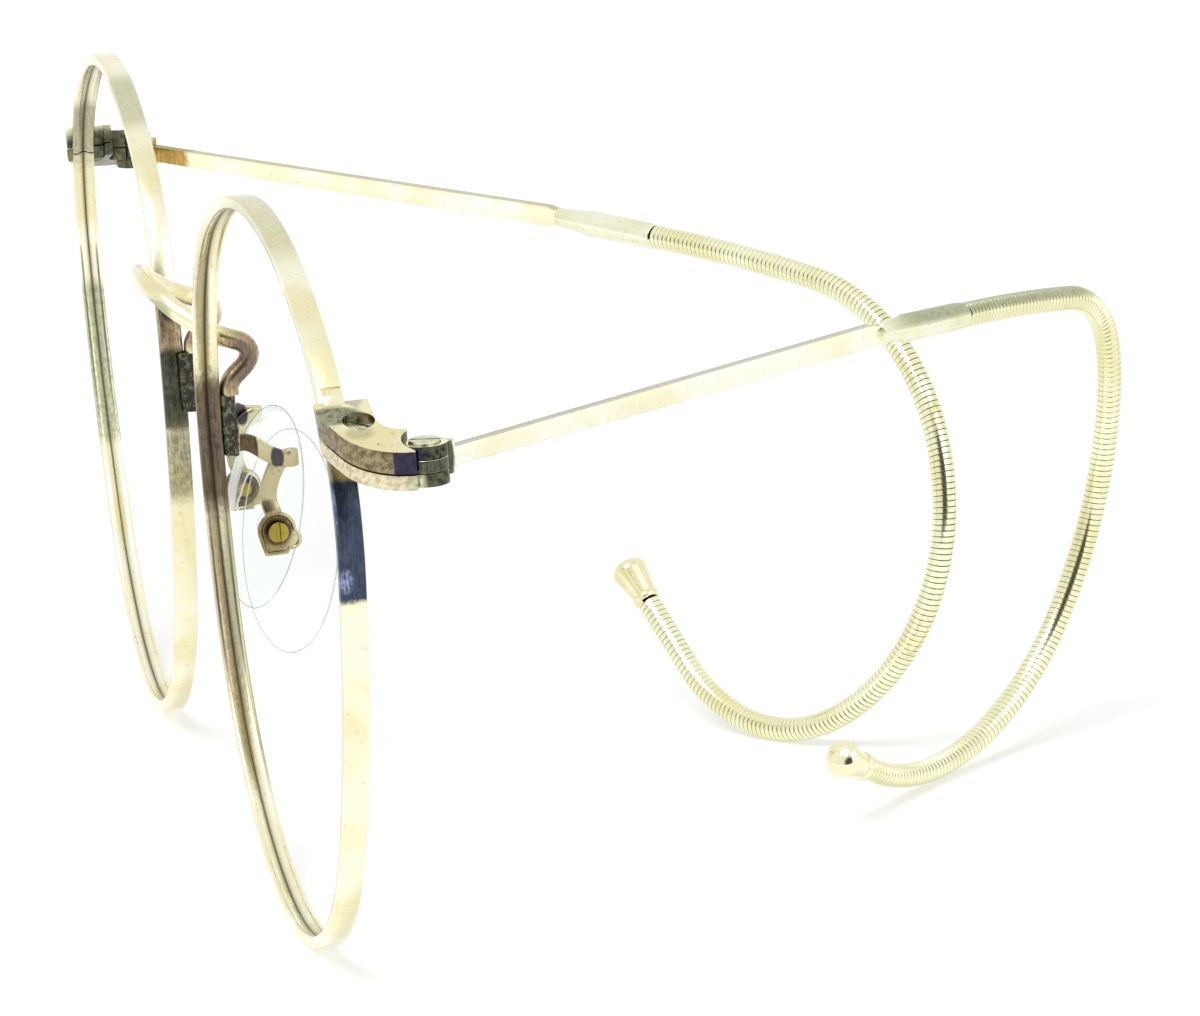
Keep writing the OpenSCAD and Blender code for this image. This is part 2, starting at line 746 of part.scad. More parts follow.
module rim_left() {
    color(gold) left() rim();
}
module rim_right() {
    color(gold) right() rim();
}
module bridge_wire_piece() {
    color(gold) stand() bridge();
}
module block_left() {
    color(dark) left() block();
}
module block_right() {
    color(dark) right() block();
}
module pad_arm_left() {
    color(gold) left() pad_arm();
}
module pad_arm_right() {
    color(gold) right() pad_arm();
}
module pad_left() {
    color(clear) left() pad();
}
module pad_right() {
    color(clear) right() pad();
}
module pad_screw_left() {
    color(brass) left() pad_screw();
}
module pad_screw_right() {
    color(brass) right() pad_screw();
}
module end_piece_upper_left() {
    color(gold) left() end_piece_upper();
}
module end_piece_upper_right() {
    color(gold) right() end_piece_upper();
}
module end_piece_lower_left() {
    color(gold) left() end_piece_lower();
}
module end_piece_lower_right() {
    color(gold) right() end_piece_lower();
}
module closing_screw_left() {
    color(dark) left() closing_screw();
}
module closing_screw_right() {
    color(dark) right() closing_screw();
}
module hinge_screw_left() {
    color(dark) left() hinge_screw();
}
module hinge_screw_right() {
    color(dark) right() hinge_screw();
}
module blade_left() {
    color(gold) left() folded(fold_left) blade();
}
module blade_right() {
    color(gold) right() folded(fold_right) blade();
}
module ferrule_left() {
    color(gold) left() folded(fold_left) ferrule(left_start);
}
module ferrule_right() {
    color(gold) right() folded(fold_right) ferrule(right_start);
}
module core_left() {
    color(brass) left() folded(fold_left) core(left_route, left_from);
}
module core_right() {
    color(brass) right() folded(fold_right) core(right_route, right_from);
}
module winding_left() {
    color(gold) left() folded(fold_left) winding(left_route, left_from, left_ribs);
}
module winding_right() {
    color(gold) right() folded(fold_right) winding(right_route, right_from, right_ribs);
}
module bead_left() {
    color(gold) left() folded(fold_left) bead(left_route, left_from);
}
module bead_right() {
    color(gold) right() folded(fold_right) bead(right_route, right_from);
}

rim_left();
rim_right();
bridge_wire_piece();  // bridge
block_left();
block_right();
pad_arm_left();
pad_arm_right();
pad_left();
pad_right();
pad_screw_left();
pad_screw_right();
end_piece_upper_left();
end_piece_upper_right();
end_piece_lower_left();
end_piece_lower_right();
closing_screw_left();
closing_screw_right();
hinge_screw_left();
hinge_screw_right();
blade_left();
blade_right();
ferrule_left();
ferrule_right();
core_left();
core_right();
winding_left();
winding_right();
bead_left();
bead_right();
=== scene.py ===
"""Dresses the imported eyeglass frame: pale gold wire rims, hooked bridge, rocking pads and wound cable temples.

Sizes are in millimetres and angles in degrees unless a docstring says otherwise. A piece is drawn on the left
side, in the frame of the untilted front, and Stand carries it into place.
"""
import json
import logging
import math
from dataclasses import dataclass, field
from enum import Enum

import bmesh
import bpy
import numpy as np
from mathutils import Matrix, Vector, noise

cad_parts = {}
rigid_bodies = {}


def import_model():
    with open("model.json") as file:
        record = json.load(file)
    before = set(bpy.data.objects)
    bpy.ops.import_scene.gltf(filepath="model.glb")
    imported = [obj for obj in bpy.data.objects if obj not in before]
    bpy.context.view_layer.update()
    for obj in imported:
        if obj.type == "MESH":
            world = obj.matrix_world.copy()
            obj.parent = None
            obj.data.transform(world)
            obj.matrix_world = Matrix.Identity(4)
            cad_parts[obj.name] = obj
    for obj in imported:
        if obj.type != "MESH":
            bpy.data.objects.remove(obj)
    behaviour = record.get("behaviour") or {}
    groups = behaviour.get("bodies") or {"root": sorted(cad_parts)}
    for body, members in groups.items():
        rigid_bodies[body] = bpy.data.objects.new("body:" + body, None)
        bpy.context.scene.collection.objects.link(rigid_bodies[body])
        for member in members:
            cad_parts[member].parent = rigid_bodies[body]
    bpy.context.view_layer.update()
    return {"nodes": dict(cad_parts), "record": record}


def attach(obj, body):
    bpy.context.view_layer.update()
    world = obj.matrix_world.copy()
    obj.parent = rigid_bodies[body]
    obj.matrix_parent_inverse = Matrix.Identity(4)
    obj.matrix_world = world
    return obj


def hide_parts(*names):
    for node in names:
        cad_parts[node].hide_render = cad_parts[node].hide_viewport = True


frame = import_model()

LOG = logging.getLogger("frame")
MM = 0.001
TAU = 2 * math.pi
RGB = tuple[float, float, float]
Finish = bpy.types.Material
Socket = bpy.types.NodeSocket


class Side(Enum):
    """Wearer's side of a piece; the value is its sign along X."""

    LEFT = 1
    RIGHT = -1

    @property
    def word(self) -> str:
        """Name of the side as the nodes and bodies spell it."""
        return self.name.lower()


def turn_x(angle: float) -> np.ndarray:
    """Rotation matrix about X, angle in degrees."""
    c, s = math.cos(math.radians(angle)), math.sin(math.radians(angle))
    return np.array([[1, 0, 0], [0, c, -s], [0, s, c]])


def turn_y(angle: float) -> np.ndarray:
    """Rotation matrix about Y, angle in degrees."""
    c, s = math.cos(math.radians(angle)), math.sin(math.radians(angle))
    return np.array([[c, 0, s], [0, 1, 0], [-s, 0, c]])


def turn_z(angle: float) -> np.ndarray:
    """Rotation matrix about Z, angle in degrees."""
    c, s = math.cos(math.radians(angle)), math.sin(math.radians(angle))
    return np.array([[c, -s, 0], [s, c, 0], [0, 0, 1]])


@dataclass(frozen=True)
class Stand:
    """Where the tilted front stands in the row frame, worked out from the left hinge."""

    tilt: float = 1.116
    hinge: tuple[float, float, float] = (61.638, 5.2, 12.355)

    def offset(self) -> np.ndarray:
        """Works out where the front stands from its left hinge.

        Returns:
            Row place, in millimetres, of the datum point between the rims.
        """
        joints = {j["name"]: j for j in frame["record"]["behaviour"]["joints"]}
        pin = np.array(joints["temple_left_fold"]["pos_m"]) / MM
        return pin - turn_x(-self.tilt) @ np.array(self.hinge)

    def place(self, points: np.ndarray, side: Side = Side.LEFT) -> np.ndarray:
        """Carries points on the front into the row frame.

        Args:
            points: N by 3 places in millimetres, as on the left side.
            side: the side that they belong to; the right one mirrors the left.

        Returns:
            N by 3 places in metres.
        """
        flat = np.atleast_2d(np.asarray(points, float)) * [side.value, 1, 1]
        return (flat @ turn_x(-self.tilt).T + self.offset()) * MM


STAND = Stand()


@dataclass(frozen=True)
class Loft:
    """A closed skin given by rings of points."""

    points: np.ndarray
    faces: list[tuple[int, ...]]
    # Share of grime with painted shade at each point, which darkens the colour; None where there is none.
    grime: np.ndarray | None = None

    def placed(self, side: Side) -> "Loft":
        """The same skin in the row frame, in metres, on one side."""
        return Loft(STAND.place(self.points, side), self.faces, self.grime)

    def joined(self, other: "Loft") -> "Loft":
        """Both skins as one."""
        n = len(self.points)
        return Loft(np.vstack([self.points, other.points]),
                    self.faces + [tuple(i + n for i in f) for f in other.faces])


def unit(vector: np.ndarray) -> np.ndarray:
    """The vector at length one."""
    return vector / np.linalg.norm(vector)


def sweep(route: np.ndarray, section: np.ndarray, side: np.ndarray, sizes: np.ndarray | None = None) -> Loft:
    """Carries a section along a route without twisting it.

    Args:
        route: N by 3 points.
        section: M by 2 outline, counter-clockwise.
        side: direction of the section's first axis at the start.
        sizes: scale of the section at each point, or None for the same all along.

    Returns:
        The skin with flat ends.
    """
    heads = np.gradient(route, axis=0)
    heads /= np.linalg.norm(heads, axis=1)[:, None]
    rings, across = [], np.asarray(side, float)
    for i, (at, head) in enumerate(zip(route, heads)):
        across = unit(across - (across @ head) * head)
        up = np.cross(head, across)
        scale = 1.0 if sizes is None else sizes[i]
        rings.append(at + scale * (section[:, :1] * across + section[:, 1:] * up))
    return skin(np.array(rings), capped=True)


def skin(rings: np.ndarray, capped: bool, closed: bool = False) -> Loft:
    """Joins rings of points by quads.

    Args:
        rings: N by M by 3 points.
        capped: whether the first and last ring get a face.
        closed: whether the last ring meets the first.

    Returns:
        The skin.
    """
    n, m = rings.shape[:2]
    faces: list[tuple[int, ...]] = []
    for i in range(n if closed else n - 1):
        k = (i + 1) % n
        for j in range(m):
            q = (j + 1) % m
            faces.append((i * m + j, i * m + q, k * m + q, k * m + j))
    if capped:
        faces.append(tuple(range(m - 1, -1, -1)))
        faces.append(tuple((n - 1) * m + j for j in range(m)))
    return Loft(rings.reshape(-1, 3), faces)


def circle(radius: float, count: int) -> np.ndarray:
    """Points of a circle, counter-clockwise."""
    a = np.arange(count) * TAU / count
    return radius * np.stack([np.cos(a), np.sin(a)], axis=1)


def smooth(points: np.ndarray, count: int) -> np.ndarray:
    """A smooth curve through points.

    Args:
        points: N by 3 places that the curve goes through.
        count: steps from each place to the next.

    Returns:
        The points of the curve.
    """
    p = np.asarray(points, float)
    ends = np.vstack([2 * p[0] - p[1], p, 2 * p[-1] - p[-2]])
    out = []
    for i in range(len(p) - 1):
        a, b, c, d = ends[i : i + 4]
        for t in np.arange(count) / count:
            out.append(0.5 * (2 * b + (c - a) * t + (2 * a - 5 * b + 4 * c - d) * t**2
                              + (3 * b - a - 3 * c + d) * t**3))
    out.append(p[-1])
    return np.array(out)


class Shop:
    """Makes Blender pieces from skins and hands them to their bodies."""

    SAME_PLACE = 2e-6
    FLAT_TO = math.radians(1.5)
    EDGE_FROM = math.radians(35)

    @staticmethod
    def added(name: str, data: bpy.types.ID) -> bpy.types.Object:
        """A new object in the scene that shows the data.

        Args:
            name: name of the object.
            data: its mesh, curve, lamp or camera.

        Returns:
            The object.
        """
        obj = bpy.data.objects.new(name, data)
        bpy.context.collection.objects.link(obj)
        return obj

    @staticmethod
    def smoothed(mesh: bpy.types.Mesh, crease: float) -> None:
        """Shades a mesh smooth but for edges sharper than the crease, in degrees."""
        mesh.shade_smooth()
        mesh.set_sharp_from_angle(angle=math.radians(crease))

    @staticmethod
    def piece(name: str, loft: Loft, crease: float = 40.0) -> bpy.types.Object:
        """A mesh object from a skin in the row frame.

        Args:
            name: name of the piece.
            loft: skin with points in metres.
            crease: edges sharper than this, in degrees, stay sharp.

        Returns:
            The object.
        """
        mesh = bpy.data.meshes.new(name)
        mesh.from_pydata([tuple(p) for p in loft.points], [], loft.faces)
        work = bmesh.new()
        work.from_mesh(mesh)
        bmesh.ops.recalc_face_normals(work, faces=work.faces)
        work.to_mesh(mesh)
        work.free()
        # Grime with painted shade goes on as a point attribute that darkens the colour.
        if loft.grime is not None:
            mesh.attributes.new("grime", "FLOAT", "POINT").data.foreach_set("value", loft.grime)
        Shop.smoothed(mesh, crease)
        return Shop.added(name, mesh)

    @staticmethod
    def baked(obj: bpy.types.Object) -> bpy.types.Mesh:
        """Works out an object's modifiers and takes them off it.

        Args:
            obj: the object.

        Returns:
            The plain mesh that they gave.
        """
        graph = bpy.context.evaluated_depsgraph_get()
        mesh = bpy.data.meshes.new_from_object(obj.evaluated_get(graph))
        obj.modifiers.clear()
        return mesh

    @staticmethod
    def applied(obj: bpy.types.Object) -> bpy.types.Object:
        """The same object with its modifiers turned into plain mesh."""
        obj.data = Shop.baked(obj)
        return obj

    @staticmethod
    def one_skin(obj: bpy.types.Object, voxel: float) -> None:
        """Adds a modifier that makes one even skin of a piece.

        Args:
            obj: the piece.
            voxel: size of the skin's faces, in millimetres.
        """
        remesh = obj.modifiers.new("one_skin", "REMESH")
        remesh.mode = "VOXEL"
        remesh.voxel_size = voxel * MM

    @staticmethod
    def eased(node: str, width: float, steps: int = 4) -> bpy.types.Object:
        """A copy of a CAD node with its edges rounded.

        Args:
            node: name of the node.
            width: width of the rounding, in millimetres.
            steps: faces across each rounding.

        Returns:
            The new object, which stands for the node.
        """
        mesh = frame["nodes"][node].data.copy()
        mesh.materials.clear()
        work = bmesh.new()
        work.from_mesh(mesh)
        bmesh.ops.remove_doubles(work, verts=work.verts, dist=Shop.SAME_PLACE)
        bmesh.ops.dissolve_limit(work, angle_limit=Shop.FLAT_TO, verts=work.verts, edges=work.edges)
        work.to_mesh(mesh)
        work.free()
        obj = Shop.added(node + "_eased", mesh)
        bevel = obj.modifiers.new("rounding", "BEVEL")
        bevel.width = width * MM
        bevel.segments = steps
        bevel.limit_method = "ANGLE"
        bevel.angle_limit = Shop.EDGE_FROM
        bevel.use_clamp_overlap = True
        Shop.smoothed(Shop.applied(obj).data, 50)
        return obj

    @staticmethod
    def kept(node: str, body: str, slot: str, finish: Finish, width: float, steps: int = 4) -> None:
        """Hands over a CAD node as it is, with its edges rounded.

        Args:
            node: name of the node.
            body: the CAD body that it rides on.
            slot: the record's material slot.
            finish: its material.
            width: width of the rounding, in millimetres.
            steps: faces across each rounding.
        """
        Shop.hand_over(Shop.eased(node, width, steps), body, slot, finish, (node,))

    @staticmethod
    def hand_over(obj: bpy.types.Object, body: str, slot: str, finish: Finish,
                  nodes: tuple[str, ...] = ()) -> None:
        """Dresses a piece and ties it to its body.

        Args:
            obj: the finished piece.
            body: the CAD body that it rides on.
            slot: the record's material slot; not used.
            finish: its material.
            nodes: the CAD nodes that it stands for.
        """
        obj.data.materials.clear()
        obj.data.materials.append(finish)
        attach(obj, body)
        if nodes:
            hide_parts(*nodes)
        LOG.info("%s: %d faces on %s", obj.name, len(obj.data.polygons), body)


class Faces(Enum):
    """Which faces a patch keeps to, by how far they face upwards; the painted shade on the ferrules and windings
    keeps to the tops.
    """

    ALL = "all"
    UPRIGHT = "upright"
    TOP = "top"


@dataclass(frozen=True)
class Spot:
    """A patch of colour, mostly tarnish, a few of them painted shade, highlights and reflections: its middle and
    reach in millimetres on the left side, its colour and strength.
    """

    middle: tuple[float, float, float]
    reach: tuple[float, float, float]
    colour: RGB
    other: RGB
    strength: float = 0.9
    edge: float = 0.4
    faces: Faces = Faces.ALL

    def on(self, side: Side) -> Vector:
        """Middle of the patch in the row frame, in millimetres."""
        return Vector(STAND.place(np.array([self.middle]), side)[0] / MM)


class Tree:
    """Short calls for building a node tree."""

    def __init__(self, tree: bpy.types.NodeTree) -> None:
        """Starts on an empty tree."""
        self.tree = tree
        tree.nodes.clear()

    @classmethod
    def of_finish(cls, name: str) -> tuple[Finish, "Tree"]:
        """A new material with its empty tree.

        Args:
            name: name of the material.

        Returns:
            The material and the tree.
        """
        material = bpy.data.materials.new(name)
        material.use_nodes = True
        return material, cls(material.node_tree)

    def node(self, kind: str, inputs: dict[int | str, object] | None = None, **settings: object) -> bpy.types.Node:
        """Adds a node.

        Args:
            kind: Blender's type name of the node.
            inputs: socket to value or to the output that feeds it.
            settings: properties of the node.

        Returns:
            The node.
        """
        made = self.tree.nodes.new(kind)
        for key, value in settings.items():
            setattr(made, key, value)
        for key, value in (inputs or {}).items():
            if isinstance(value, Socket):
                self.tree.links.new(value, made.inputs[key])
            else:
                made.inputs[key].default_value = value
        return made

    def math(self, operation: str, a: object, b: object = 0.0) -> Socket:
        """Output of a Math node on two values."""
        return self.node("ShaderNodeMath", {0: a, 1: b}, operation=operation).outputs[0]

    def vector(self, operation: str, a: object, b: object = (0.0, 0.0, 0.0), out: int | str = 0) -> Socket:
        """Output of a Vector Math node on two vectors."""
        return self.node("ShaderNodeVectorMath", {0: a, 1: b}, operation=operation).outputs[out]

    def ramp(self, value: object, low: float, high: float, to_low: float = 0.0, to_high: float = 1.0) -> Socket:
        """A value carried smoothly from one range to another; a noise's values lie about 0.5."""
        made = self.node("ShaderNodeMapRange", {0: value, 1: low, 2: high, 3: to_low, 4: to_high},
                         interpolation_type="SMOOTHSTEP")
        return made.outputs[0]

    def mix(self, factor: object, a: object, b: object, blend: str = "MIX") -> Socket:
        """Two colours mixed."""
        made = self.node("ShaderNodeMix", {0: factor, 6: a, 7: b}, data_type="RGBA", blend_type=blend)
        return made.outputs[2]

    def noise(self, at: Socket, scale: float, detail: float = 3.0, rough: float = 0.55) -> Socket:
        """Value of a noise at a place, scale in features per millimetre."""
        made = self.node("ShaderNodeTexNoise", {
            "Vector": at, "Scale": scale, "Detail": detail, "Roughness": rough})
        return made.outputs["Fac"]

    def upward(self) -> Socket:
        """How far the surface faces upwards, from -1 to 1, in the object's own frame."""
        normal = self.node("ShaderNodeTexCoord").outputs["Normal"]
        return self.node("ShaderNodeSeparateXYZ", {0: normal}).outputs["Z"]

    def millimetres(self) -> Socket:
        """The object's own coordinates in millimetres."""
        at = self.node("ShaderNodeTexCoord").outputs["Object"]
        return self.vector("MULTIPLY", at, (1 / MM,) * 3)


def rgba(colour: RGB) -> tuple[float, float, float, float]:
    """The colour with full alpha."""
    return (*colour, 1.0)


@dataclass(frozen=True)
class AgedPlate:
    """Pale gold plate on drawn metal, with wear, specks and heat tarnish by the solder joints, grime with painted
    shade in grooves and seams, and a painted dark reflection on upward faces.

    The pairs in capitals are the values between which a layer comes in.
    """

    WORN = (0.38, 0.62)
    SPECKED = (0.56, 0.74)
    MOTTLED = (0.40, 0.62)
    LEVEL = (0.45, 0.85)
    DRAWN_SCALE = (6.0, 6.0, 0.5)
    ROUGH_RANGE = 0.12
    ROUGH_DIRT = 0.2
    PATCH_DULLNESS = 0.6

    name: str
    pale: RGB = (0.90, 0.87, 0.60)
    deep: RGB = (0.82, 0.75, 0.42)
    speck: RGB = (0.20, 0.17, 0.09)
    # Colour of the grime with painted shade in grooves and seams.
    dirt: RGB = (0.10, 0.085, 0.04)
    specks: float = 0.3
    roughness: float = 0.2
    grain: float = 0.012
    # Painted dark reflection on the upward faces: its strength and colour.
    dust: float = 0.0
    dust_colour: RGB = (0.30, 0.33, 0.19)
    streak: float = 0.5
    spots: tuple[Spot, ...] = ()
    side: Side = Side.LEFT

    def build(self) -> Finish:
        """Builds the finish.

        Returns:
            The material.
        """
        material, t = Tree.of_finish(self.name)
        at = t.millimetres()
        broad = t.noise(at, 0.16, 2.0)
        fine = t.noise(at, 2.6, 4.0, 0.65)
        drawn = self.scratches(t, at)
        colour = t.mix(t.ramp(broad, *self.WORN), rgba(self.pale), rgba(self.deep))
        specks = t.math("MULTIPLY", t.ramp(fine, *self.SPECKED), self.specks)
        colour = t.mix(specks, colour, rgba(self.speck))
        pattern = t.ramp(t.mix(self.streak, fine, drawn), *self.MOTTLED)
        dull: object = specks
        for spot in self.spots:
            shade = self.patch(t, at, fine, spot)
            tint = t.mix(pattern, rgba(spot.colour), rgba(spot.other))
            colour = t.mix(shade, colour, tint)
            dull = t.math("MAXIMUM", dull, t.math("MULTIPLY", shade, self.PATCH_DULLNESS))
        # Painted dark reflection: upward faces take a darker colour.
        if self.dust:
            top_reflection_share = t.math("MULTIPLY", t.ramp(t.upward(), *self.LEVEL), self.dust)
            colour = t.mix(top_reflection_share, colour, rgba(self.dust_colour))
        # Grime with painted shade: the point attribute darkens grooves and seams.
        grime = t.node("ShaderNodeAttribute", attribute_name="grime").outputs["Fac"]
        colour = t.mix(grime, colour, rgba(self.dirt))
        dull = t.math("MAXIMUM", dull, grime)
        rough = t.math("ADD", t.math("MULTIPLY", fine, self.ROUGH_RANGE), self.roughness - self.ROUGH_RANGE / 2)
        rough = t.math("ADD", rough, t.math("MULTIPLY", dull, self.ROUGH_DIRT))
        bump = t.node("ShaderNodeBump", {"Strength": 0.3, "Distance": self.grain * MM,
                                         "Height": t.math("ADD", fine, drawn)})
        shader = t.node("ShaderNodeBsdfPrincipled", {
            "Base Color": colour, "Metallic": 1.0, "Roughness": rough, "Normal": bump.outputs[0]})
        t.node("ShaderNodeOutputMaterial", {0: shader.outputs[0]})
        return material

    def patch(self, t: Tree, at: Socket, fine: Socket, spot: Spot) -> Socket:
        """Share of a patch at each place; most patches are tarnish, and a few are painted shade, highlights and
        reflections.

        Args:
            t: the tree.
            at: place in millimetres.
            fine: fine noise that breaks up the patch's edge.
            spot: the patch.

        Returns:
            A value from 0 to the patch's strength.
        """
        away = t.vector("SUBTRACT", at, spot.on(self.side))
        scaled = t.vector("MULTIPLY", away, tuple(1 / r for r in spot.reach))
        far = t.vector("LENGTH", scaled, out="Value")
        ragged = t.math("ADD", far, t.math("MULTIPLY", t.math("SUBTRACT", fine, 0.5), 1.5 * spot.edge))
        share = t.ramp(ragged, 1.0 - spot.edge, 1.0 + spot.edge * 0.4, spot.strength, 0.0)
        if spot.faces is Faces.TOP:
            return t.math("MULTIPLY", share, t.ramp(t.upward(), 0.0, 0.5))
        if spot.faces is Faces.UPRIGHT:
            return t.math("MULTIPLY", share, t.ramp(t.math("ABSOLUTE", t.upward()), 0.45, 0.75, 1.0, 0.0))
        return share

    def scratches(self, t: Tree, at: Socket) -> Socket:
        """Fine drawn lines along the wire, stretched down the height."""
        return t.noise(t.vector("MULTIPLY", at, self.DRAWN_SCALE), 1.4, 2.0)


@dataclass(frozen=True)
class Solder:
    """Dark, pitted solder with green-grey crust."""

    name: str
    dark: RGB = (0.035, 0.035, 0.022)
    crust: RGB = (0.20, 0.21, 0.13)
    crusted: tuple[float, float] = (0.46, 0.66)
    roughness: tuple[float, float] = (0.35, 0.7)
    relief: float = 0.08

    def build(self) -> Finish:
        """Builds the finish.

        Returns:
            The material.
        """
        material, t = Tree.of_finish(self.name)
        at = t.millimetres()
        lumps = t.noise(at, 2.2, 4.0, 0.7)
        pits = t.noise(at, 7.0, 3.0, 0.7)
        colour = t.mix(t.ramp(lumps, *self.crusted), rgba(self.dark), rgba(self.crust))
        bump = t.node("ShaderNodeBump", {
            "Strength": 0.8, "Distance": self.relief * MM, "Height": t.math("ADD", lumps, pits)})
        shader = t.node("ShaderNodeBsdfPrincipled", {
            "Base Color": colour, "Metallic": 0.6, "Roughness": t.ramp(pits, 0.3, 0.7, *self.roughness),
            "Normal": bump.outputs[0]})
        t.node("ShaderNodeOutputMaterial", {0: shader.outputs[0]})
        return material


@dataclass(frozen=True)
class ClearAcetate:
    """Water clear moulded plastic with a faint green body."""

    name: str
    tint: RGB = (0.985, 0.997, 0.99)
    rim: RGB = (0.16, 0.30, 0.24)
    rim_from: tuple[float, float] = (0.52, 0.98)
    roughness: tuple[float, float] = (0.03, 0.12)
    gloss_ior: float = 1.3
    gloss: float = 0.6

    def build(self) -> Finish:
        """Builds the finish.

        Returns:
            The material.
        """
        material, t = Tree.of_finish(self.name)
        at = t.millimetres()
        handling = t.noise(at, 0.7, 3.0)
        bump = t.node("ShaderNodeBump", {"Strength": 0.1, "Distance": 0.02 * MM, "Height": t.noise(at, 1.2)})
        facing = t.node("ShaderNodeLayerWeight", {"Blend": 0.5}).outputs["Facing"]
        thick = t.math("ADD", facing, t.math("MULTIPLY", t.math("SUBTRACT", handling, 0.5), 0.12))
        body = t.mix(t.ramp(thick, *self.rim_from), rgba(self.tint), rgba(self.rim))
        clear = t.node("ShaderNodeBsdfTransparent", {"Color": body})
        gloss = t.node("ShaderNodeBsdfAnisotropic", {
            "Color": (1, 1, 1, 1), "Normal": bump.outputs[0],
            "Roughness": t.ramp(handling, 0.3, 0.7, *self.roughness)})
        share = t.node("ShaderNodeFresnel", {"IOR": self.gloss_ior}).outputs[0]
        share = t.math("MULTIPLY", share, self.gloss)
        both = t.node("ShaderNodeMixShader", {0: share, 1: clear.outputs[0], 2: gloss.outputs[0]})
        t.node("ShaderNodeOutputMaterial", {0: both.outputs[0]})
        return material


@dataclass(frozen=True)
class Outline:
    """A rim's outline: seven arcs that meet without a corner, in millimetres from the datum line."""

    radii: tuple[float, ...] = (22.8, 48.7, 14.3, 35.1, 16.7)
    turns: tuple[float, ...] = (58, 26, 61, 62, 59, 18, 76)
    nose_gap: float = 15.7
    datum_up: float = 26.4

    def closed_radii(self) -> list[float]:
        """Works out the last two radii, which close the outline.

        Returns:
            All seven radii.
        """
        steps = [self.step(i, self.turns[i]) for i in range(7)]
        rest = -sum(r * s for r, s in zip(self.radii, steps))
        last = np.linalg.solve(np.array([steps[5], steps[6]]).T, rest)
        return [*self.radii, *last]

    def step(self, i: int, turn: float) -> np.ndarray:
        """Way along arc i of radius one, turned by so many degrees from its start."""
        a, b = math.radians(sum(self.turns[:i])), math.radians(sum(self.turns[:i]) + turn)
        return np.array([math.sin(b) - math.sin(a), math.cos(a) - math.cos(b)])

    def at(self, head: float) -> np.ndarray:
        """X and Z of the outline on the left side where it runs in direction head, in degrees."""
        return self.walk(self.closed_radii(), head % 360) + [self.centre(), -self.datum_up]

    def centre(self) -> float:
        """X of the lowest point, over which the rim is turned to wrap the face."""
        return self.nose_gap / 2 - self.walk(self.closed_radii(), 270)[0]

    def walk(self, radii: list[float], head: float) -> np.ndarray:
        """Way from the lowest point to where the outline runs in a direction.

        Args:
            radii: all seven radii.
            head: the direction in degrees.

        Returns:
            The way along X and Z.
        """
        place, begun = np.zeros(2), 0.0
        for i, turn in enumerate(self.turns):
            part = min(turn, head - begun)
            if part <= 0:
                break
            place = place + radii[i] * self.step(i, part)
            begun += turn
        return place


@dataclass
class Rim:
    """One rim: a split ring of grooved wire.

    edge_turns are the turns, in radians, at which the round of an outer edge gets its points, and lip_turns the
    turns at which a lip does.
    """

    side: Side
    outline: Outline = field(default_factory=Outline)
    thick: float = 0.85
    deep: float = 1.7
    groove_deep: float = 0.35
    groove_wide: float = 0.8
    rounding: float = 0.2
    split_turn: float = 120.3
    split_gap: float = 0.12
    wrap: float = 1.1
    rings: int = 400
    lip_swell: float = 0.12
    edge_turns: tuple[float, ...] = (0.2, 0.6, 1.0, 1.4)
    lip_turns: tuple[float, ...] = (80, 50, 15, -20, -60)
    most_grime: float = 0.95

    def section(self) -> np.ndarray:
        """Outline of the wire: a round backed outside, and two lips with the groove between them.

        Returns:
            M by 2 points: distance out from the rim's outline, and depth to the rear.
        """
        half, r = self.deep / 2, self.rounding
        outer = [(-r + r * math.sin(a), s * (half - r) + s * r * math.cos(a))
                 for s, turns in ((-1, self.edge_turns), (1, self.edge_turns[::-1])) for a in turns]
        lip = (half - self.groove_wide / 2) / 2
        inner = []
        for s in (1, -1):
            mid = s * (half - lip)
            turns = [math.radians(x) for x in self.lip_turns]
            arc = [(-self.thick + self.lip_swell * (1 - math.cos(a)), mid + s * lip * math.sin(a)) for a in turns]
            wall = [tuple(np.array(arc[-1]) * (1 - t) + np.array([self.groove_deep - self.thick, 0.0]) * t)
                    for t in (0.35, 0.7)]
            inner += arc + wall if s > 0 else wall[::-1] + arc[::-1]
            if s > 0:
                inner.append((-self.thick + self.groove_deep, 0.0))
        return np.array(outer + inner)

    def build(self, finish: Finish) -> None:
        """Makes the rim and hands it over.

        Args:
            finish: its finish.
        """
        section = self.section()
        gap = math.degrees(self.split_gap / 2 / self.outline.radii[2])
        heads = np.linspace(self.split_turn + gap, self.split_turn + 360 - gap, self.rings)
        hub = np.array([self.outline.centre(), 0, 0])
        rings = []
        for head in heads:
            x, z = self.outline.at(head)
            out = np.array([math.sin(math.radians(head)), -math.cos(math.radians(head))])
            ring = np.array([x, 0.0, z]) + section[:, :1] * [out[0], 0, out[1]] + section[:, 1:] * [0, 1, 0]
            rings.append((ring - hub) @ turn_z(self.wrap).T + hub)
        loft = skin(np.array(rings), True)
        # Grime with painted shade in the groove, stronger the deeper into it.
        depth = np.clip((section[:, 0] + self.thick) / self.groove_deep, 0, 1)
        inner = section[:, 0] < -self.thick * 0.5
        grime = np.where(inner, self.most_grime * depth**4, 0.0)
        loft = Loft(loft.points, loft.faces, np.tile(grime, self.rings))
        obj = Shop.piece("rim_wire_" + self.side.word, loft.placed(self.side), 50)
        Shop.hand_over(obj, "front", "gold_metal", finish, ("rim_" + self.side.word,))


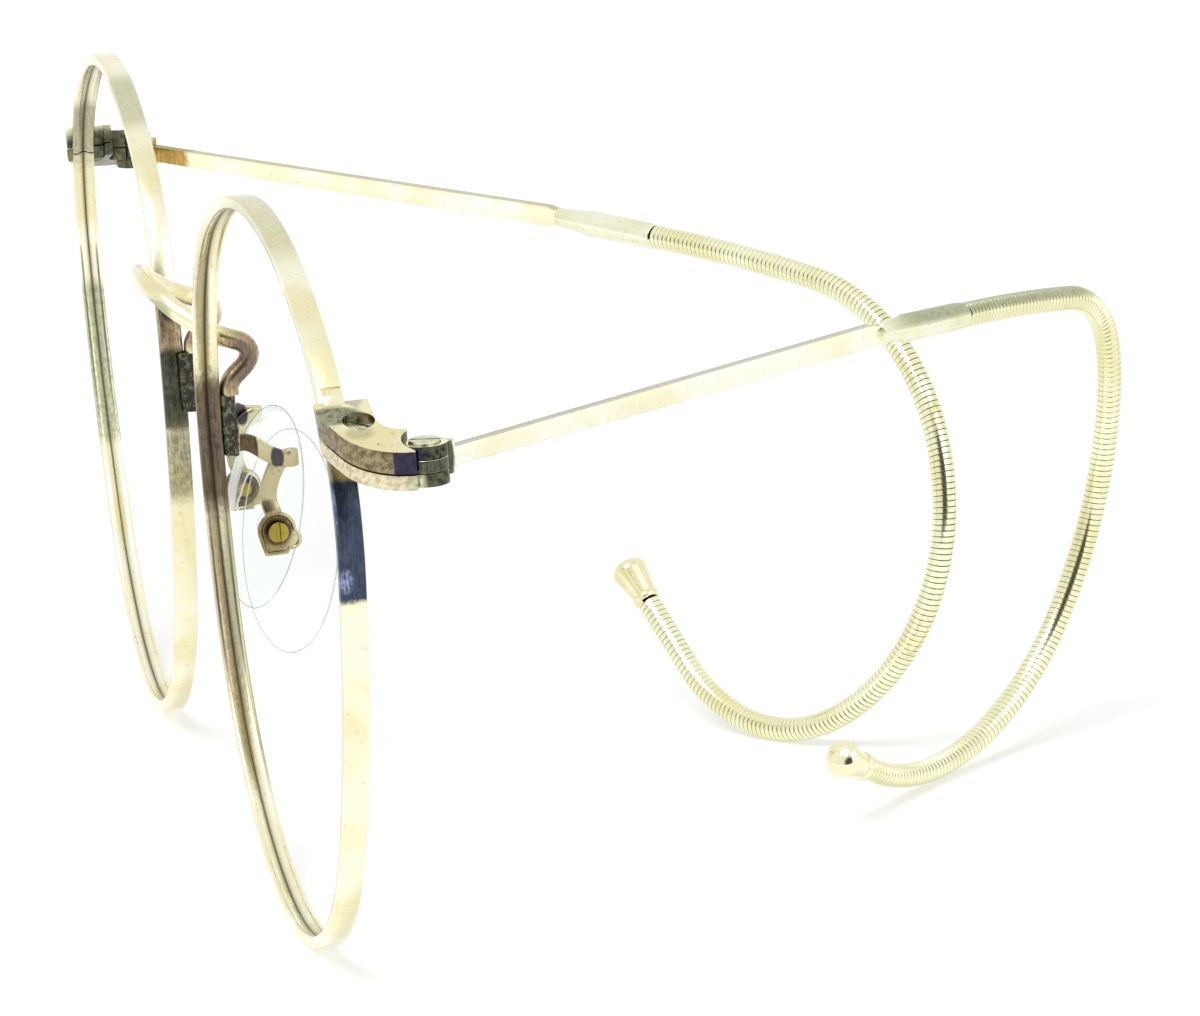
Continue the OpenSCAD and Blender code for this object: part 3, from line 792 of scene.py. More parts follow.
@dataclass
class Bridge:
    """The bridge: one formed wire from solder block to solder block, hooked at both ends."""

    wire: float = 1.4
    crest_fore: float = 3.1
    crest_up: float = 13.5
    crest_half: float = 3.4
    hook_back: float = 2.8
    hook_up: float = 10.2
    hook_seat: float = 1.134
    block_x: float = 8.05
    block_top: float = 6.4
    sides: int = 32
    steps: int = 12
    hook: tuple[tuple[float, float], ...] = (
        (0, -0.02), (0, 0.09), (0.05, 0.18), (0.22, 0.3), (0.52, 0.42), (0.82, 0.55), (0.98, 0.7),
        (0.93, 0.84), (0.67, 0.96), (0.22, 1.04))

    def half(self) -> list[tuple[float, float, float]]:
        """Half the wire's route, whose hook is given in shares of its reach back and up.

        Returns:
            Points from the left solder block towards the middle.
        """
        x, up, fore, half = self.block_x, self.hook_up, self.crest_fore, self.crest_half
        hook = [(x, self.hook_seat + out * (self.hook_back - self.hook_seat),
                 self.block_top + rise * (up - self.block_top)) for out, rise in self.hook]
        return [
            *hook, (x - 0.35, 0.4, up + 0.6),
            (half + 3.3, -0.8, self.crest_up - 1.95), (half + 2.2, 0.4 - fore * 0.78, self.crest_up - 1.05),
            (half + 1, 0.4 - fore, self.crest_up - 0.35), (half - 0.6, 0.08 - fore, self.crest_up - 0.05),
        ]

    def build(self, finish: Finish) -> None:
        """Makes the bridge and hands it over.

        Args:
            finish: its finish.
        """
        half = self.half()
        other = [(-x, y, z) for x, y, z in half[::-1]]
        route = smooth(np.array([*half, (0, -self.crest_fore, self.crest_up), *other]), self.steps)
        loft = sweep(route, circle(self.wire / 2, self.sides), np.array([1, 0, 0]))
        obj = Shop.piece("bridge_wire", loft.placed(Side.LEFT))
        Shop.hand_over(obj, "front", "gold_metal", finish, ("bridge",))


@dataclass
class SolderBlock:
    """The lump of solder that holds the bridge and the pad arm to the rim."""

    side: Side
    voxel: float = 0.09
    relief: float = 0.12
    easing: float = 0.25

    def build(self, finish: Finish) -> None:
        """Makes the lump and hands it over.

        Args:
            finish: its finish.
        """
        node = "block_" + self.side.word
        obj = Shop.eased(node, self.easing)
        obj.name = "solder_" + self.side.word
        Shop.one_skin(obj, self.voxel)
        Shop.applied(obj)
        mesh = obj.data
        mesh.update()
        moved = [v.co + v.normal * (self.lift(v.co) * MM) for v in mesh.vertices]
        for vertex, place in zip(mesh.vertices, moved):
            vertex.co = place
        mesh.shade_smooth()
        Shop.hand_over(obj, "front", "tarnished_solder", finish, (node,))

    def lift(self, place: Vector) -> float:
        """How far the surface stands out, in millimetres, at a place in metres."""
        at = Vector((abs(place.x), place.y, place.z)) / MM
        return self.relief * (noise.noise(at * 1.3) + 0.5 * noise.noise(at * 3.1) - 0.35)


@dataclass(frozen=True)
class Route:
    """A curl: lengths and downward turns, from the end of the ferrule, in the plane of the temple."""

    start: float
    steps: tuple[tuple[float, float], ...]

    def length(self) -> float:
        """Whole length in millimetres."""
        return sum(step[0] for step in self.steps)

    def walk(self, distance: float, begin: float) -> tuple[np.ndarray, float]:
        """Place along the route.

        Args:
            distance: way along the curl in millimetres.
            begin: length of the ferrule before it.

        Returns:
            Place (along, down) and direction in degrees.
        """
        head = self.start
        place = begin * np.array([math.cos(math.radians(head)), math.sin(math.radians(head))])
        for i, (length, turn) in enumerate(self.steps):
            last = i == len(self.steps) - 1
            part = distance if last else min(length, distance)
            bend = turn * part / length
            mid = math.radians(head + bend / 2)
            half = math.radians(bend / 2)
            chord = part if abs(half) < 1e-9 else part * math.sin(half) / half
            place = place + chord * np.array([math.cos(mid), math.sin(mid)])
            head += bend
            distance -= part
            if distance <= 0:
                break
        return place, head


@dataclass
class Temple:
    """One temple: blade, ferrule, core, winding and end bead.

    collar pairs the radius, as a share of the cable's thickness, with the way along the bead.
    """

    side: Side
    fold: float
    route: Route
    hinge: tuple[float, float, float] = STAND.hinge
    blade_len: float = 48.0
    drop: float = 1.85
    lean: float = 10.2
    ferrule_len: float = 10.0
    cable: float = 1.75
    pitch: float = 0.42
    strand: float = 0.3
    core: float = 1.06
    bead: float = 2.7
    bead_len: float = 3.8
    line_points: int = 400
    core_points: int = 160
    core_sides: int = 16
    bead_sides: int = 48
    per_turn: int = 20
    collar: tuple[tuple[float, float], ...] = (
        (0.5, 0.0), (0.57, 0.05), (0.6, 0.14), (0.6, 0.48), (0.57, 0.57), (0.54, 0.62))

    def from_curl(self, points: np.ndarray) -> np.ndarray:
        """Carries points in the plane of the curl to the front's own frame.

        Args:
            points: N by 3 places (along, down, out) in millimetres.

        Returns:
            N by 3 places in millimetres.
        """
        flat = np.stack([-points[:, 2], points[:, 0], -points[:, 1]], axis=1)
        flat = flat @ turn_y(self.lean).T + [0, self.blade_len, 0]
        return flat @ turn_x(-self.drop).T @ turn_z(self.fold).T + self.hinge

    def line(self, count: int) -> np.ndarray:
        """Middle line of the curl in the front's own frame.

        Args:
            count: number of points on it.

        Returns:
            The points.
        """
        ways = np.linspace(0, self.route.length(), count)
        flat = np.array([[*self.route.walk(s, self.ferrule_len)[0], 0.0] for s in ways])
        return self.from_curl(flat)

    def build(self, plate: Finish, sleeve: Finish, bead: Finish, wire: Finish, dark: Finish) -> None:
        """Makes the temple's pieces and hands them over.

        Args:
            plate: finish of the blade.
            sleeve: finish of the ferrule.
            bead: finish of the end bead.
            wire: finish of the winding.
            dark: finish of the core between the turns.
        """
        word, body = self.side.word, "temple_" + self.side.word
        Shop.kept("blade_" + word, body, "gold_metal", plate, 0.16)
        Shop.kept("ferrule_" + word, body, "gold_metal", sleeve, 0.12, 3)
        core = sweep(self.line(self.core_points), circle(self.core / 2, self.core_sides), np.array([0, 0, 1.0]))
        core_wire = Shop.piece("core_wire_" + word, core.placed(self.side))
        Shop.hand_over(core_wire, body, "core_wire", dark, ("core_" + word,))
        Shop.hand_over(self.winding(wire), body, "wound_wire", wire, ("winding_" + word,))
        Shop.hand_over(self.end_bead(), body, "gold_metal", bead, ("bead_" + word,))

    def winding(self, wire: Finish) -> bpy.types.Object:
        """The close wound wire, made by geometry nodes along the curl's middle line.

        Args:
            wire: its finish.

        Returns:
            The winding as plain mesh.
        """
        name = "wound_wire_" + self.side.word
        curve = bpy.data.curves.new(name + "_line", "CURVE")
        curve.dimensions = "3D"
        curve.twist_mode = "MINIMUM"
        points = STAND.place(self.line(self.line_points), self.side)
        spline = curve.splines.new("POLY")
        spline.points.add(len(points) - 1)
        spline.points.foreach_set("co", np.column_stack([points, np.ones(len(points))]).ravel())
        line = Shop.added(name + "_line", curve)
        turns = round(self.route.length() / self.pitch)
        Winding(self.per_turn).fit(line, turns, self.cable, self.strand, self.pitch, wire)
        mesh = Shop.baked(line)
        bpy.data.objects.remove(line)
        Shop.smoothed(mesh, 30)
        return Shop.added(name, mesh)

    def end_bead(self) -> bpy.types.Object:
        """The drop shaped bead with its collar, turned round the end of the curl.

        Returns:
            The bead.
        """
        r, d, n, dome_share = self.bead / 2, self.cable, self.bead_len, 0.68
        flank = [(0.0, 0.0), *((d * share, way) for share, way in self.collar)]
        thin, start = flank[-1]
        widest = n - r * dome_share
        neck = [(thin + (r * 0.97 - thin) * t, start + t * (widest - r * 0.16 - start))
                for t in np.linspace(0.06, 1, 8)]
        dome = [(r * math.cos(a), widest + dome_share * r * math.sin(a))
                for a in np.linspace(0, math.pi / 2 - 0.06, 12)]
        profile = flank + neck + dome + [(0.0, n)]
        end, head = self.route.walk(self.route.length(), self.ferrule_len)
        along = np.array([math.cos(math.radians(head)), math.sin(math.radians(head)), 0])
        across = np.array([-along[1], along[0], 0])
        out = np.array([0, 0, 1.0])
        rings = []
        for radius, way in profile:
            turned = circle(max(radius, 1e-3), self.bead_sides)
            middle = np.array([*end, 0]) + way * along
            rings.append(self.from_curl(middle + turned[:, :1] * across + turned[:, 1:] * out))
        return Shop.piece("end_bead_" + self.side.word, skin(np.array(rings), True).placed(self.side), 50)


class Winding:
    """Geometry nodes that wind a flat strand round a line, face outwards.

    FILLET is the strand's chamfer as a share of its thickness, FILL its width as a share of the pitch, and SEAM
    where its dark edge, grime with painted shade between the turns, begins and is full, as shares of its width.
    """

    FILLET = 0.13
    FILL = 0.97
    SEAM = (0.43, 0.49)
    # Strength of the grime with painted shade at the seams.
    SEAM_DIRT = 0.85

    def __init__(self, per_turn: int) -> None:
        """Builds the tree.

        Args:
            per_turn: number of points in one turn of the strand.
        """
        self.per_turn = per_turn
        self.group = bpy.data.node_groups.new("close_winding", "GeometryNodeTree")
        kinds = {"Turns": "Int", "Radius": "Float", "Width": "Float", "Height": "Float", "Finish": "Material"}
        face = self.group.interface
        face.new_socket("Line", in_out="INPUT", socket_type="NodeSocketGeometry")
        self.ids = {name: face.new_socket(name, in_out="INPUT", socket_type="NodeSocket" + kind).identifier
                    for name, kind in kinds.items()}
        face.new_socket("Wire", in_out="OUTPUT", socket_type="NodeSocketGeometry")
        self.wire_up(Tree(self.group))

    def wire_up(self, t: Tree) -> None:
        """Resamples the line, winds it, sweeps the strand, marks its seams with grime and painted shade, realises
        it and sets the finish.

        Args:
            t: the tree.
        """
        given = t.node("NodeGroupInput").outputs
        count = t.math("MULTIPLY", given["Turns"], float(self.per_turn))
        line = t.node("GeometryNodeResampleCurve", {"Curve": given["Line"], "Count": count})
        phase = t.math("MULTIPLY", t.node("GeometryNodeSplineParameter").outputs["Factor"], TAU)
        phase = t.math("MULTIPLY", phase, given["Turns"])
        across = t.node("GeometryNodeInputNormal").outputs[0]
        along = t.node("GeometryNodeInputTangent").outputs[0]
        up = t.vector("CROSS_PRODUCT", along, across)
        side = self.scaled(t, across, t.math("COSINE", phase))
        rise = self.scaled(t, up, t.math("SINE", phase))
        outward = t.vector("ADD", side, rise)
        kept, outward = self.captured(t, line.outputs[0], "VECTOR", outward)
        wound = t.node("GeometryNodeSetPosition", {
            "Geometry": kept, "Offset": self.scaled(t, outward, given["Radius"])})
        faced = t.node("GeometryNodeSetCurveNormal", {"Curve": wound.outputs[0], "Normal": outward}, mode="FREE")
        flat = t.node("GeometryNodeCurvePrimitiveQuadrilateral", {
            "Width": given["Height"], "Height": given["Width"]})
        eased = t.node("GeometryNodeFilletCurve", {
            "Curve": flat.outputs[0], "Count": 1,
            "Radius": t.math("MULTIPLY", given["Height"], self.FILLET)}, mode="POLY")
        place = t.node("ShaderNodeSeparateXYZ", {0: t.node("GeometryNodeInputPosition").outputs[0]}).outputs["Y"]
        share = t.math("DIVIDE", t.math("ABSOLUTE", place), given["Width"])
        ring, share = self.captured(t, eased.outputs[0], "FLOAT", share)
        tube = t.node("GeometryNodeCurveToMesh", {
            "Curve": faced.outputs[0], "Profile Curve": ring, "Fill Caps": True})
        # Grime with painted shade between the turns: the strand darkens towards its edges.
        marked = t.node("GeometryNodeStoreNamedAttribute", {
            "Geometry": tube.outputs[0], "Name": "grime",
            "Value": t.ramp(share, *self.SEAM, 0.0, self.SEAM_DIRT)}, data_type="FLOAT", domain="POINT")
        real = t.node("GeometryNodeRealizeInstances", {0: marked.outputs[0]})
        done = t.node("GeometryNodeSetMaterial", {"Geometry": real.outputs[0], "Material": given["Finish"]})
        t.node("NodeGroupOutput", {0: done.outputs[0]})

    def captured(self, t: Tree, geometry: Socket, kind: str, value: Socket) -> tuple[Socket, Socket]:
        """Keeps a field's value on a geometry.

        Args:
            t: the tree.
            geometry: the geometry that keeps it.
            kind: type of the value.
            value: the field.

        Returns:
            The geometry and the kept value.
        """
        node = t.node("GeometryNodeCaptureAttribute", {"Geometry": geometry})
        node.capture_items.new(kind, "kept")
        t.tree.links.new(value, node.inputs["kept"])
        return node.outputs["Geometry"], node.outputs["kept"]

    def scaled(self, t: Tree, vector: Socket, by: Socket) -> Socket:
        """A vector times a value."""
        return t.node("ShaderNodeVectorMath", {0: vector, "Scale": by}, operation="SCALE").outputs[0]

    def fit(self, line: bpy.types.Object, turns: int, cable: float, strand: float, pitch: float,
            finish: Finish) -> None:
        """Puts the winding on a line object.

        Args:
            line: the object with the middle line.
            turns: how often the strand goes round.
            cable: outer diameter, in millimetres.
            strand: thickness of the strand, in millimetres.
            pitch: distance from turn to turn, in millimetres.
            finish: material of the wire.
        """
        modifier = line.modifiers.new("winding", "NODES")
        modifier.node_group = self.group
        values = {"Turns": turns, "Radius": (cable - strand) / 2 * MM, "Width": pitch * self.FILL * MM,
                  "Height": strand * MM, "Finish": finish}
        for name, value in values.items():
            modifier[self.ids[name]] = value


@dataclass
class EndPiece:
    """The two halves that clamp a rim shut and carry the hinge, with their two screws."""

    side: Side

    def build(self, plates: list[Finish], screws: Finish) -> None:
        """Makes both halves and both screws and hands them over.

        Args:
            plates: finishes of the upper and the lower half.
            screws: finish of both screws.
        """
        word = self.side.word
        for half, plate in zip(("upper", "lower"), plates):
            Shop.kept(f"end_piece_{half}_{word}", "front", "gold_metal", plate, 0.13)
        for kind in ("closing", "hinge"):
            Shop.kept(f"{kind}_screw_{word}", "front", "screw_steel", screws, 0.09)


@dataclass
class NosePad:
    """A clear pad on its screw, with the folded arm that carries it.

    eyelet is the radius of the eyelet, and its two foot corners and its lobe are given in shares of that radius.
    boss_rings pairs the way from the pad's middle with the boss's radius there, and lip the way in from the
    eyelet's edge with the way down from its face.
    """

    side: Side
    long: float = 16.3
    wide: float = 7.4
    thick: float = 1.7
    splay: float = 30.0
    tilt: float = 12.0
    screw: tuple[float, float, float] = (7.5, 3.9, -4.1)
    voxel: float = 0.14
    polish: float = 0.6
    polish_rounds: int = 8
    strap_thick: float = 0.45
    strap_wide: float = 1.2
    strap_x: float = 8.0
    fold_x: float = 7.3
    block_back: float = 1.5
    strap_back: float = 4.1
    strap_ease: float = 0.1
    eyelet: float = 1.4
    bore: float = 0.56
    from_screw: tuple[float, float, float] = (-1.9, 1.2, -1.3)
    roundness: float = 0.45
    boss_rings: tuple[tuple[float, float], ...] = ((0.0, 1.25), (0.9, 1.05), (1.62, 1.0))
    foot: tuple[tuple[float, float], ...] = ((-0.7, -1.25), (0.5, -1.25))
    lobe: tuple[float, float] = (0.7, -0.5)
    lobe_r: float = 0.55
    sunk: float = 0.16
    lip: tuple[tuple[float, float], ...] = (
        (0.32, 0.14), (0.25, 0.03), (0.18, 0.0), (0.1, 0.0), (0.03, 0.05), (0.0, 0.12))
    bevel: float = 0.08
    oval_points: int = 72
    oval_rings: int = 25
    boss_sides: int = 40
    lip_points: int = 96
    strap_steps: int = 8

    def middle(self) -> np.ndarray:
        """Middle of the pad on the left side, in millimetres."""
        return np.array(self.screw) + self.from_screw

    def shell(self) -> Loft:
        """The oval pad, thickest in the middle, with a full round edge.

        Returns:
            The skin on the left side, in millimetres.
        """
        oval = circle(1.0, self.oval_points) * [self.wide / 2, self.long / 2]
        rings = []
        for t in np.linspace(-math.pi / 2 + 0.05, math.pi / 2 - 0.05, self.oval_rings):
            size = math.cos(t) ** self.roundness
            rings.append(np.column_stack([oval * size, np.full(len(oval), self.thick / 2 * math.sin(t))]))
        flat = np.array(rings)
        turned = np.stack([flat[..., 2], flat[..., 0], flat[..., 1]], axis=-1)
        turned = turned @ turn_y(-self.tilt).T @ turn_z(-self.splay).T
        return skin(turned + self.middle(), True)

    def boss(self) -> Loft:
        """The round neck from the middle of the pad to the eyelet.

        Returns:
            The skin on the left side, in millimetres.
        """
        begin = self.middle()[0]
        rings = [np.insert(circle(r, self.boss_sides) + self.screw[1:], 0, begin + x, axis=1)
                 for x, r in self.boss_rings]
        return skin(np.array(rings), True)

    def strap(self) -> Loft:
        """The flat strap that runs back from the block, folds over and comes down to the eyelet.

        Returns:
            The skin on the left side, in millimetres.
        """
        x, fold, y, back = self.strap_x, self.fold_x, self.block_back, self.block_back + self.strap_back
        top, screw, r = self.screw[2] + self.eyelet, self.screw, (self.strap_x - self.fold_x) / 2
        turn, part = back - r, r * math.cos(math.pi / 4)
        route = smooth(np.array([
            (x, y - 0.1, 2.75), (x, y + 0.3, 2.75), (x, y + 0.7, 2.68), (x, y + 1.3, 2.35), (x, y + 2, 1.8),
            (x, y + 2.7, 1.42), (x, turn - 0.4, 1.24), (x, turn, 1.2), (fold + r + part, turn + part, 1.2),
            (fold + r, back, 1.2), (fold + r - part, turn + part, 1.2), (fold, turn, 1.2), (fold, turn - 0.4, 1.1),
            (fold, screw[1] + 0.45, 0.75), (fold, screw[1] + 0.05, 0.1), (fold, screw[1] - 0.3, -0.8),
            (fold, screw[1] - 0.43, -1.6), (fold + 0.08, screw[1] - 0.38, top + 0.55),
            (fold + 0.18, screw[1] - 0.25, top + 0.15), (screw[0], screw[1] - 0.15, top - 0.15)]),
            self.strap_steps)
        ease, h, w = self.strap_ease, self.strap_thick / 2, self.strap_wide / 2
        corners = [(sx * (h - ease), sy * (w - ease), q)
                   for sx, sy, q in ((1, 1, 0), (-1, 1, 1), (-1, -1, 2), (1, -1, 3))]
        section = [(cx + ease * math.cos(a), cy + ease * math.sin(a)) for cx, cy, q in corners
                   for a in (q * math.pi / 2 + np.linspace(0.1, math.pi / 2 - 0.1, 4))]
        return sweep(route, np.array(section), np.array([1, 0, 0]))

    def eyelet_reach(self, angle: float) -> float:
        """Distance from the screw to the eyelet's edge in one direction.

        Args:
            angle: direction in the eyelet's plane, in radians from straight back.

        Returns:
            The distance in millimetres.
        """
        r = self.eyelet
        corners = np.array(self.foot) * r
        turns = angle + np.linspace(-1.3, 1.3, 53)
        hold = np.maximum(r, np.max(corners @ np.array([np.cos(turns), np.sin(turns)]), axis=0))
        reach = float(np.min(hold / np.cos(turns - angle)))
        lobe, ray = np.array(self.lobe) * r, np.array([math.cos(angle), math.sin(angle)])
        miss = lobe[0] * ray[1] - lobe[1] * ray[0]
        if abs(miss) < self.lobe_r * r and lobe @ ray > 0:
            reach = max(reach, float(lobe @ ray + math.sqrt((self.lobe_r * r) ** 2 - miss**2)))
        return reach

    def cup(self) -> Loft:
        """The eyelet, sunk within a raised lip.

        Returns:
            The skin on the left side, in millimetres.
        """
        x, y, z = self.screw
        h = self.strap_thick / 2
        rings = []
        for angle in np.arange(self.lip_points) * TAU / self.lip_points:
            far = self.eyelet_reach(angle)
            cross = [(self.bore, -h), (self.bore, h - self.sunk),
                     *((far - way, h - down) for way, down in self.lip),
                     (far, -h + self.bevel), (far - self.bevel, -h)]
            rings.append([(x + out, y + r * math.cos(angle), z + r * math.sin(angle)) for r, out in cross])
        return skin(np.array(rings), False, closed=True)

    def build(self, acetate: Finish, brass: Finish, plate: Finish) -> None:
        """Makes the pad, its screw and its arm and hands them over.

        Args:
            acetate: finish of the pad.
            brass: finish of the screw.
            plate: finish of the arm.
        """
        word = self.side.word
        pad = Shop.piece("clear_pad_" + word, self.shell().joined(self.boss()).placed(self.side))
        Shop.one_skin(pad, self.voxel)
        even = pad.modifiers.new("polish", "SMOOTH")
        even.factor = self.polish
        even.iterations = self.polish_rounds
        Shop.applied(pad).data.shade_smooth()
        body = "pad_" + word
        Shop.hand_over(pad, body, "clear_plastic", acetate, ("pad_" + word,))
        Shop.kept("pad_screw_" + word, body, "brass_screw", brass, 0.1)
        arm = Shop.piece("pad_arm_strap_" + word, self.strap().joined(self.cup()).placed(self.side), 50)
        Shop.hand_over(arm, "front", "gold_metal", plate, ("pad_arm_" + word,))


BROWN = (0.13, 0.095, 0.05)
DARK_BROWN = (0.05, 0.032, 0.018)
BROWN_GOLD = (0.30, 0.25, 0.14)
OLIVE = (0.42, 0.39, 0.20)
DARK_OLIVE = (0.20, 0.18, 0.085)
VIOLET = (0.05, 0.036, 0.06)
BLUE = (0.018, 0.030, 0.062)
DUSK_BLUE = (0.045, 0.068, 0.13)
# Painted highlight colour on the blue tarnish band.
BLUE_HIGHLIGHT = (0.34, 0.40, 0.62)
GREEN_GREY = (0.56, 0.60, 0.40)
SAGE = (0.42, 0.46, 0.30)
DULL_GREEN = (0.30, 0.31, 0.19)
BARREL = (0.085, 0.095, 0.055)
NEAR_BLACK = (0.02, 0.02, 0.015)
ROSE = (0.50, 0.37, 0.24)
YELLOW = (0.92, 0.87, 0.52)
PINK_GOLD = (0.76, 0.68, 0.48)
PALE_PINK = (0.50, 0.42, 0.28)
MAUVE = (0.17, 0.125, 0.12)
ORANGE = (0.38, 0.22, 0.035)
AMBER = (0.62, 0.42, 0.10)
WARM_BROWN = (0.36, 0.26, 0.12)


def near_rim_spots() -> tuple[Spot, ...]:
    """Tarnish on the left rim, with painted highlights on its blue band.

    Returns:
        The patches.
    """
    return (
        Spot((37.0, 0, 25.0), (9, 6, 5), GREEN_GREY, OLIVE, 0.5),
        Spot((56.0, 0, 17.8), (3.5, 6, 2.2), YELLOW, YELLOW, 0.7, 0.3),
        Spot((10.0, -0.7, 14.0), (6.0, 0.55, 9.5), WARM_BROWN, OLIVE, 0.8, 0.35),
        Spot((10.2, 0.6, -12.0), (9.0, 0.9, 15.0), DULL_GREEN, OLIVE, 0.75, 0.25),
        Spot((10.2, -0.7, -12.0), (9.0, 0.6, 16.0), WARM_BROWN, BROWN, 0.75, 0.35),
        Spot((8.6, 0, 3.2), (6, 6, 5.4), BROWN, DARK_BROWN, 0.92, 0.3),
        Spot((8.6, -0.35, 4.2), (6, 0.5, 3.6), MAUVE, DARK_BROWN, 0.85, 0.45),
        Spot((57.6, 0, 11.5), (4.0, 6, 1.2), DARK_OLIVE, BROWN, 0.85, 0.3),
        Spot((58.4, 0, 7.1), (8.0, 8, 4.05), BLUE, DUSK_BLUE, 0.97, 0.08),
        # Painted highlights on the blue tarnish band.
        Spot((58.4, 0, 4.6), (8.0, 0.55, 0.8), BLUE_HIGHLIGHT, DUSK_BLUE, 0.8, 0.5),
        Spot((58.4, -0.3, 9.3), (8.0, 0.16, 1.6), BLUE_HIGHLIGHT, DUSK_BLUE, 0.5, 0.6),
    )


def far_rim_spots() -> tuple[Spot, ...]:
    """Tarnish on the right rim.

    Returns:
        The patches, given as on the left side.
    """
    return (
        Spot((22.0, 0, 23.8), (6, 6, 3.0), GREEN_GREY, OLIVE, 0.7),
        Spot((17.5, 0, 14.5), (4.0, 6, 6.0), YELLOW, YELLOW, 0.5),
        Spot((8.4, 0, 8.2), (6, 6, 2.6), ROSE, BROWN, 0.9, 0.25),
        Spot((8.4, -0.5, 10.0), (6, 0.6, 1.4), DUSK_BLUE, VIOLET, 0.85, 0.3),
        Spot((8.3, 0, 3.6), (6, 6, 3.2), NEAR_BLACK, BARREL, 0.96, 0.15),
        Spot((8.3, 0, -2.0), (6, 6, 3.2), OLIVE, BROWN, 0.8),
        Spot((56.0, 0, 17.0), (5, 6, 5.0), DARK_OLIVE, OLIVE, 0.7),
        Spot((58.6, 0, -4.2), (9, 8, 7.0), GREEN_GREY, DULL_GREEN, 0.75, 0.12),
    )


def lug_spots(side: Side, half: str) -> tuple[Spot, ...]:
    """Tarnish on half an end piece and its hinge, with painted shade in the hinge's gaps.

    Args:
        side: the wearer's side.
        half: upper or lower.

    Returns:
        The patches, given as on the left side.
    """
    # Near black on the hinge knuckles: dark tarnish, with painted shade in the gaps between them.
    knuckle_tarnish_and_shade = Spot((61.6, 6.6, 12.2), (4.0, 2.0, 5.0), BARREL, NEAR_BLACK, 0.96, 0.12, Faces.UPRIGHT)
    if side is Side.RIGHT:
        return (
            Spot((60.5, 2.5, 12.6), (7, 7, 4), BARREL, NEAR_BLACK, 0.94, 0.2),
            Spot((58.6, -0.2, 12.8), (1.6, 1.2, 2.0), BROWN_GOLD, OLIVE, 0.7, 0.4),
            Spot((61.0, 3.0, 12.2), (2.0, 1.0, 0.8), BROWN_GOLD, MAUVE, 0.8, 0.4),
            knuckle_tarnish_and_shade,
        )
    if half == "lower":
        return (
            Spot((60.5, 2.0, 11.8), (7.0, 7.0, 3.0), PINK_GOLD, PALE_PINK, 0.9, 0.2, Faces.UPRIGHT),
            Spot((62.0, 4.3, 11.2), (2.5, 0.8, 1.0), GREEN_GREY, DULL_GREEN, 0.85, 0.3),
            knuckle_tarnish_and_shade,
        )
    return (
        Spot((60.5, 2.0, 13.0), (7.0, 7.0, 4.0), BROWN_GOLD, BROWN, 0.95, 0.2, Faces.UPRIGHT),
        Spot((63.6, 4.2, 13.2), (3.0, 1.35, 8.0), VIOLET, BLUE, 0.98, 0.08, Faces.UPRIGHT),
        Spot((57.9, 0.2, 15.2), (1.4, 2.0, 0.8), DULL_GREEN, BARREL, 0.9, 0.25),
        Spot((60.2, 1.4, 14.4), (1.0, 1.0, 0.6), DULL_GREEN, OLIVE, 0.5, 0.4),
        knuckle_tarnish_and_shade,
    )


def bridge_spots() -> tuple[Spot, ...]:
    """Tarnish on the bridge's hooks and on its left shoulder, with a painted dark reflection along the left hook.

    Returns:
        The patches.
    """
    return (
        Spot((8.1, 1.9, 8.4), (2.5, 2.6, 3.0), ROSE, BROWN, 0.85, 0.3),
        # Painted dark reflection: the narrow mauve line down the outer face of the left hook.
        Spot((8.75, 2.2, 8.7), (0.55, 1.2, 2.4), MAUVE, BROWN, 0.85, 0.5),
        Spot((-8.1, 1.5, 8.2), (2.5, 2.2, 2.2), ROSE, BROWN, 0.85),
        Spot((4.2, -3.2, 12.2), (3.2, 1.3, 1.0), SAGE, OLIVE, 0.85, 0.3),
    )


def arm_spots() -> tuple[Spot, ...]:
    """Tarnish on a pad arm.

    Returns:
        The patches, given as on the left side.
    """
    return (
        Spot((8.0, 2.2, 2.3), (3, 0.7, 2), DARK_BROWN, BROWN, 0.95, 0.15),
        Spot((8.0, 4.2, 1.4), (3, 0.5, 0.9), VIOLET, BLUE, 0.9, 0.2),
        Spot((7.5, 3.5, -4.2), (3, 1.6, 1.8), WARM_BROWN, BROWN, 0.92, 0.35),
        Spot((7.5, 3.9, -4.1), (3, 1.12, 1.12), DARK_BROWN, BROWN, 0.92, 0.2),
    )


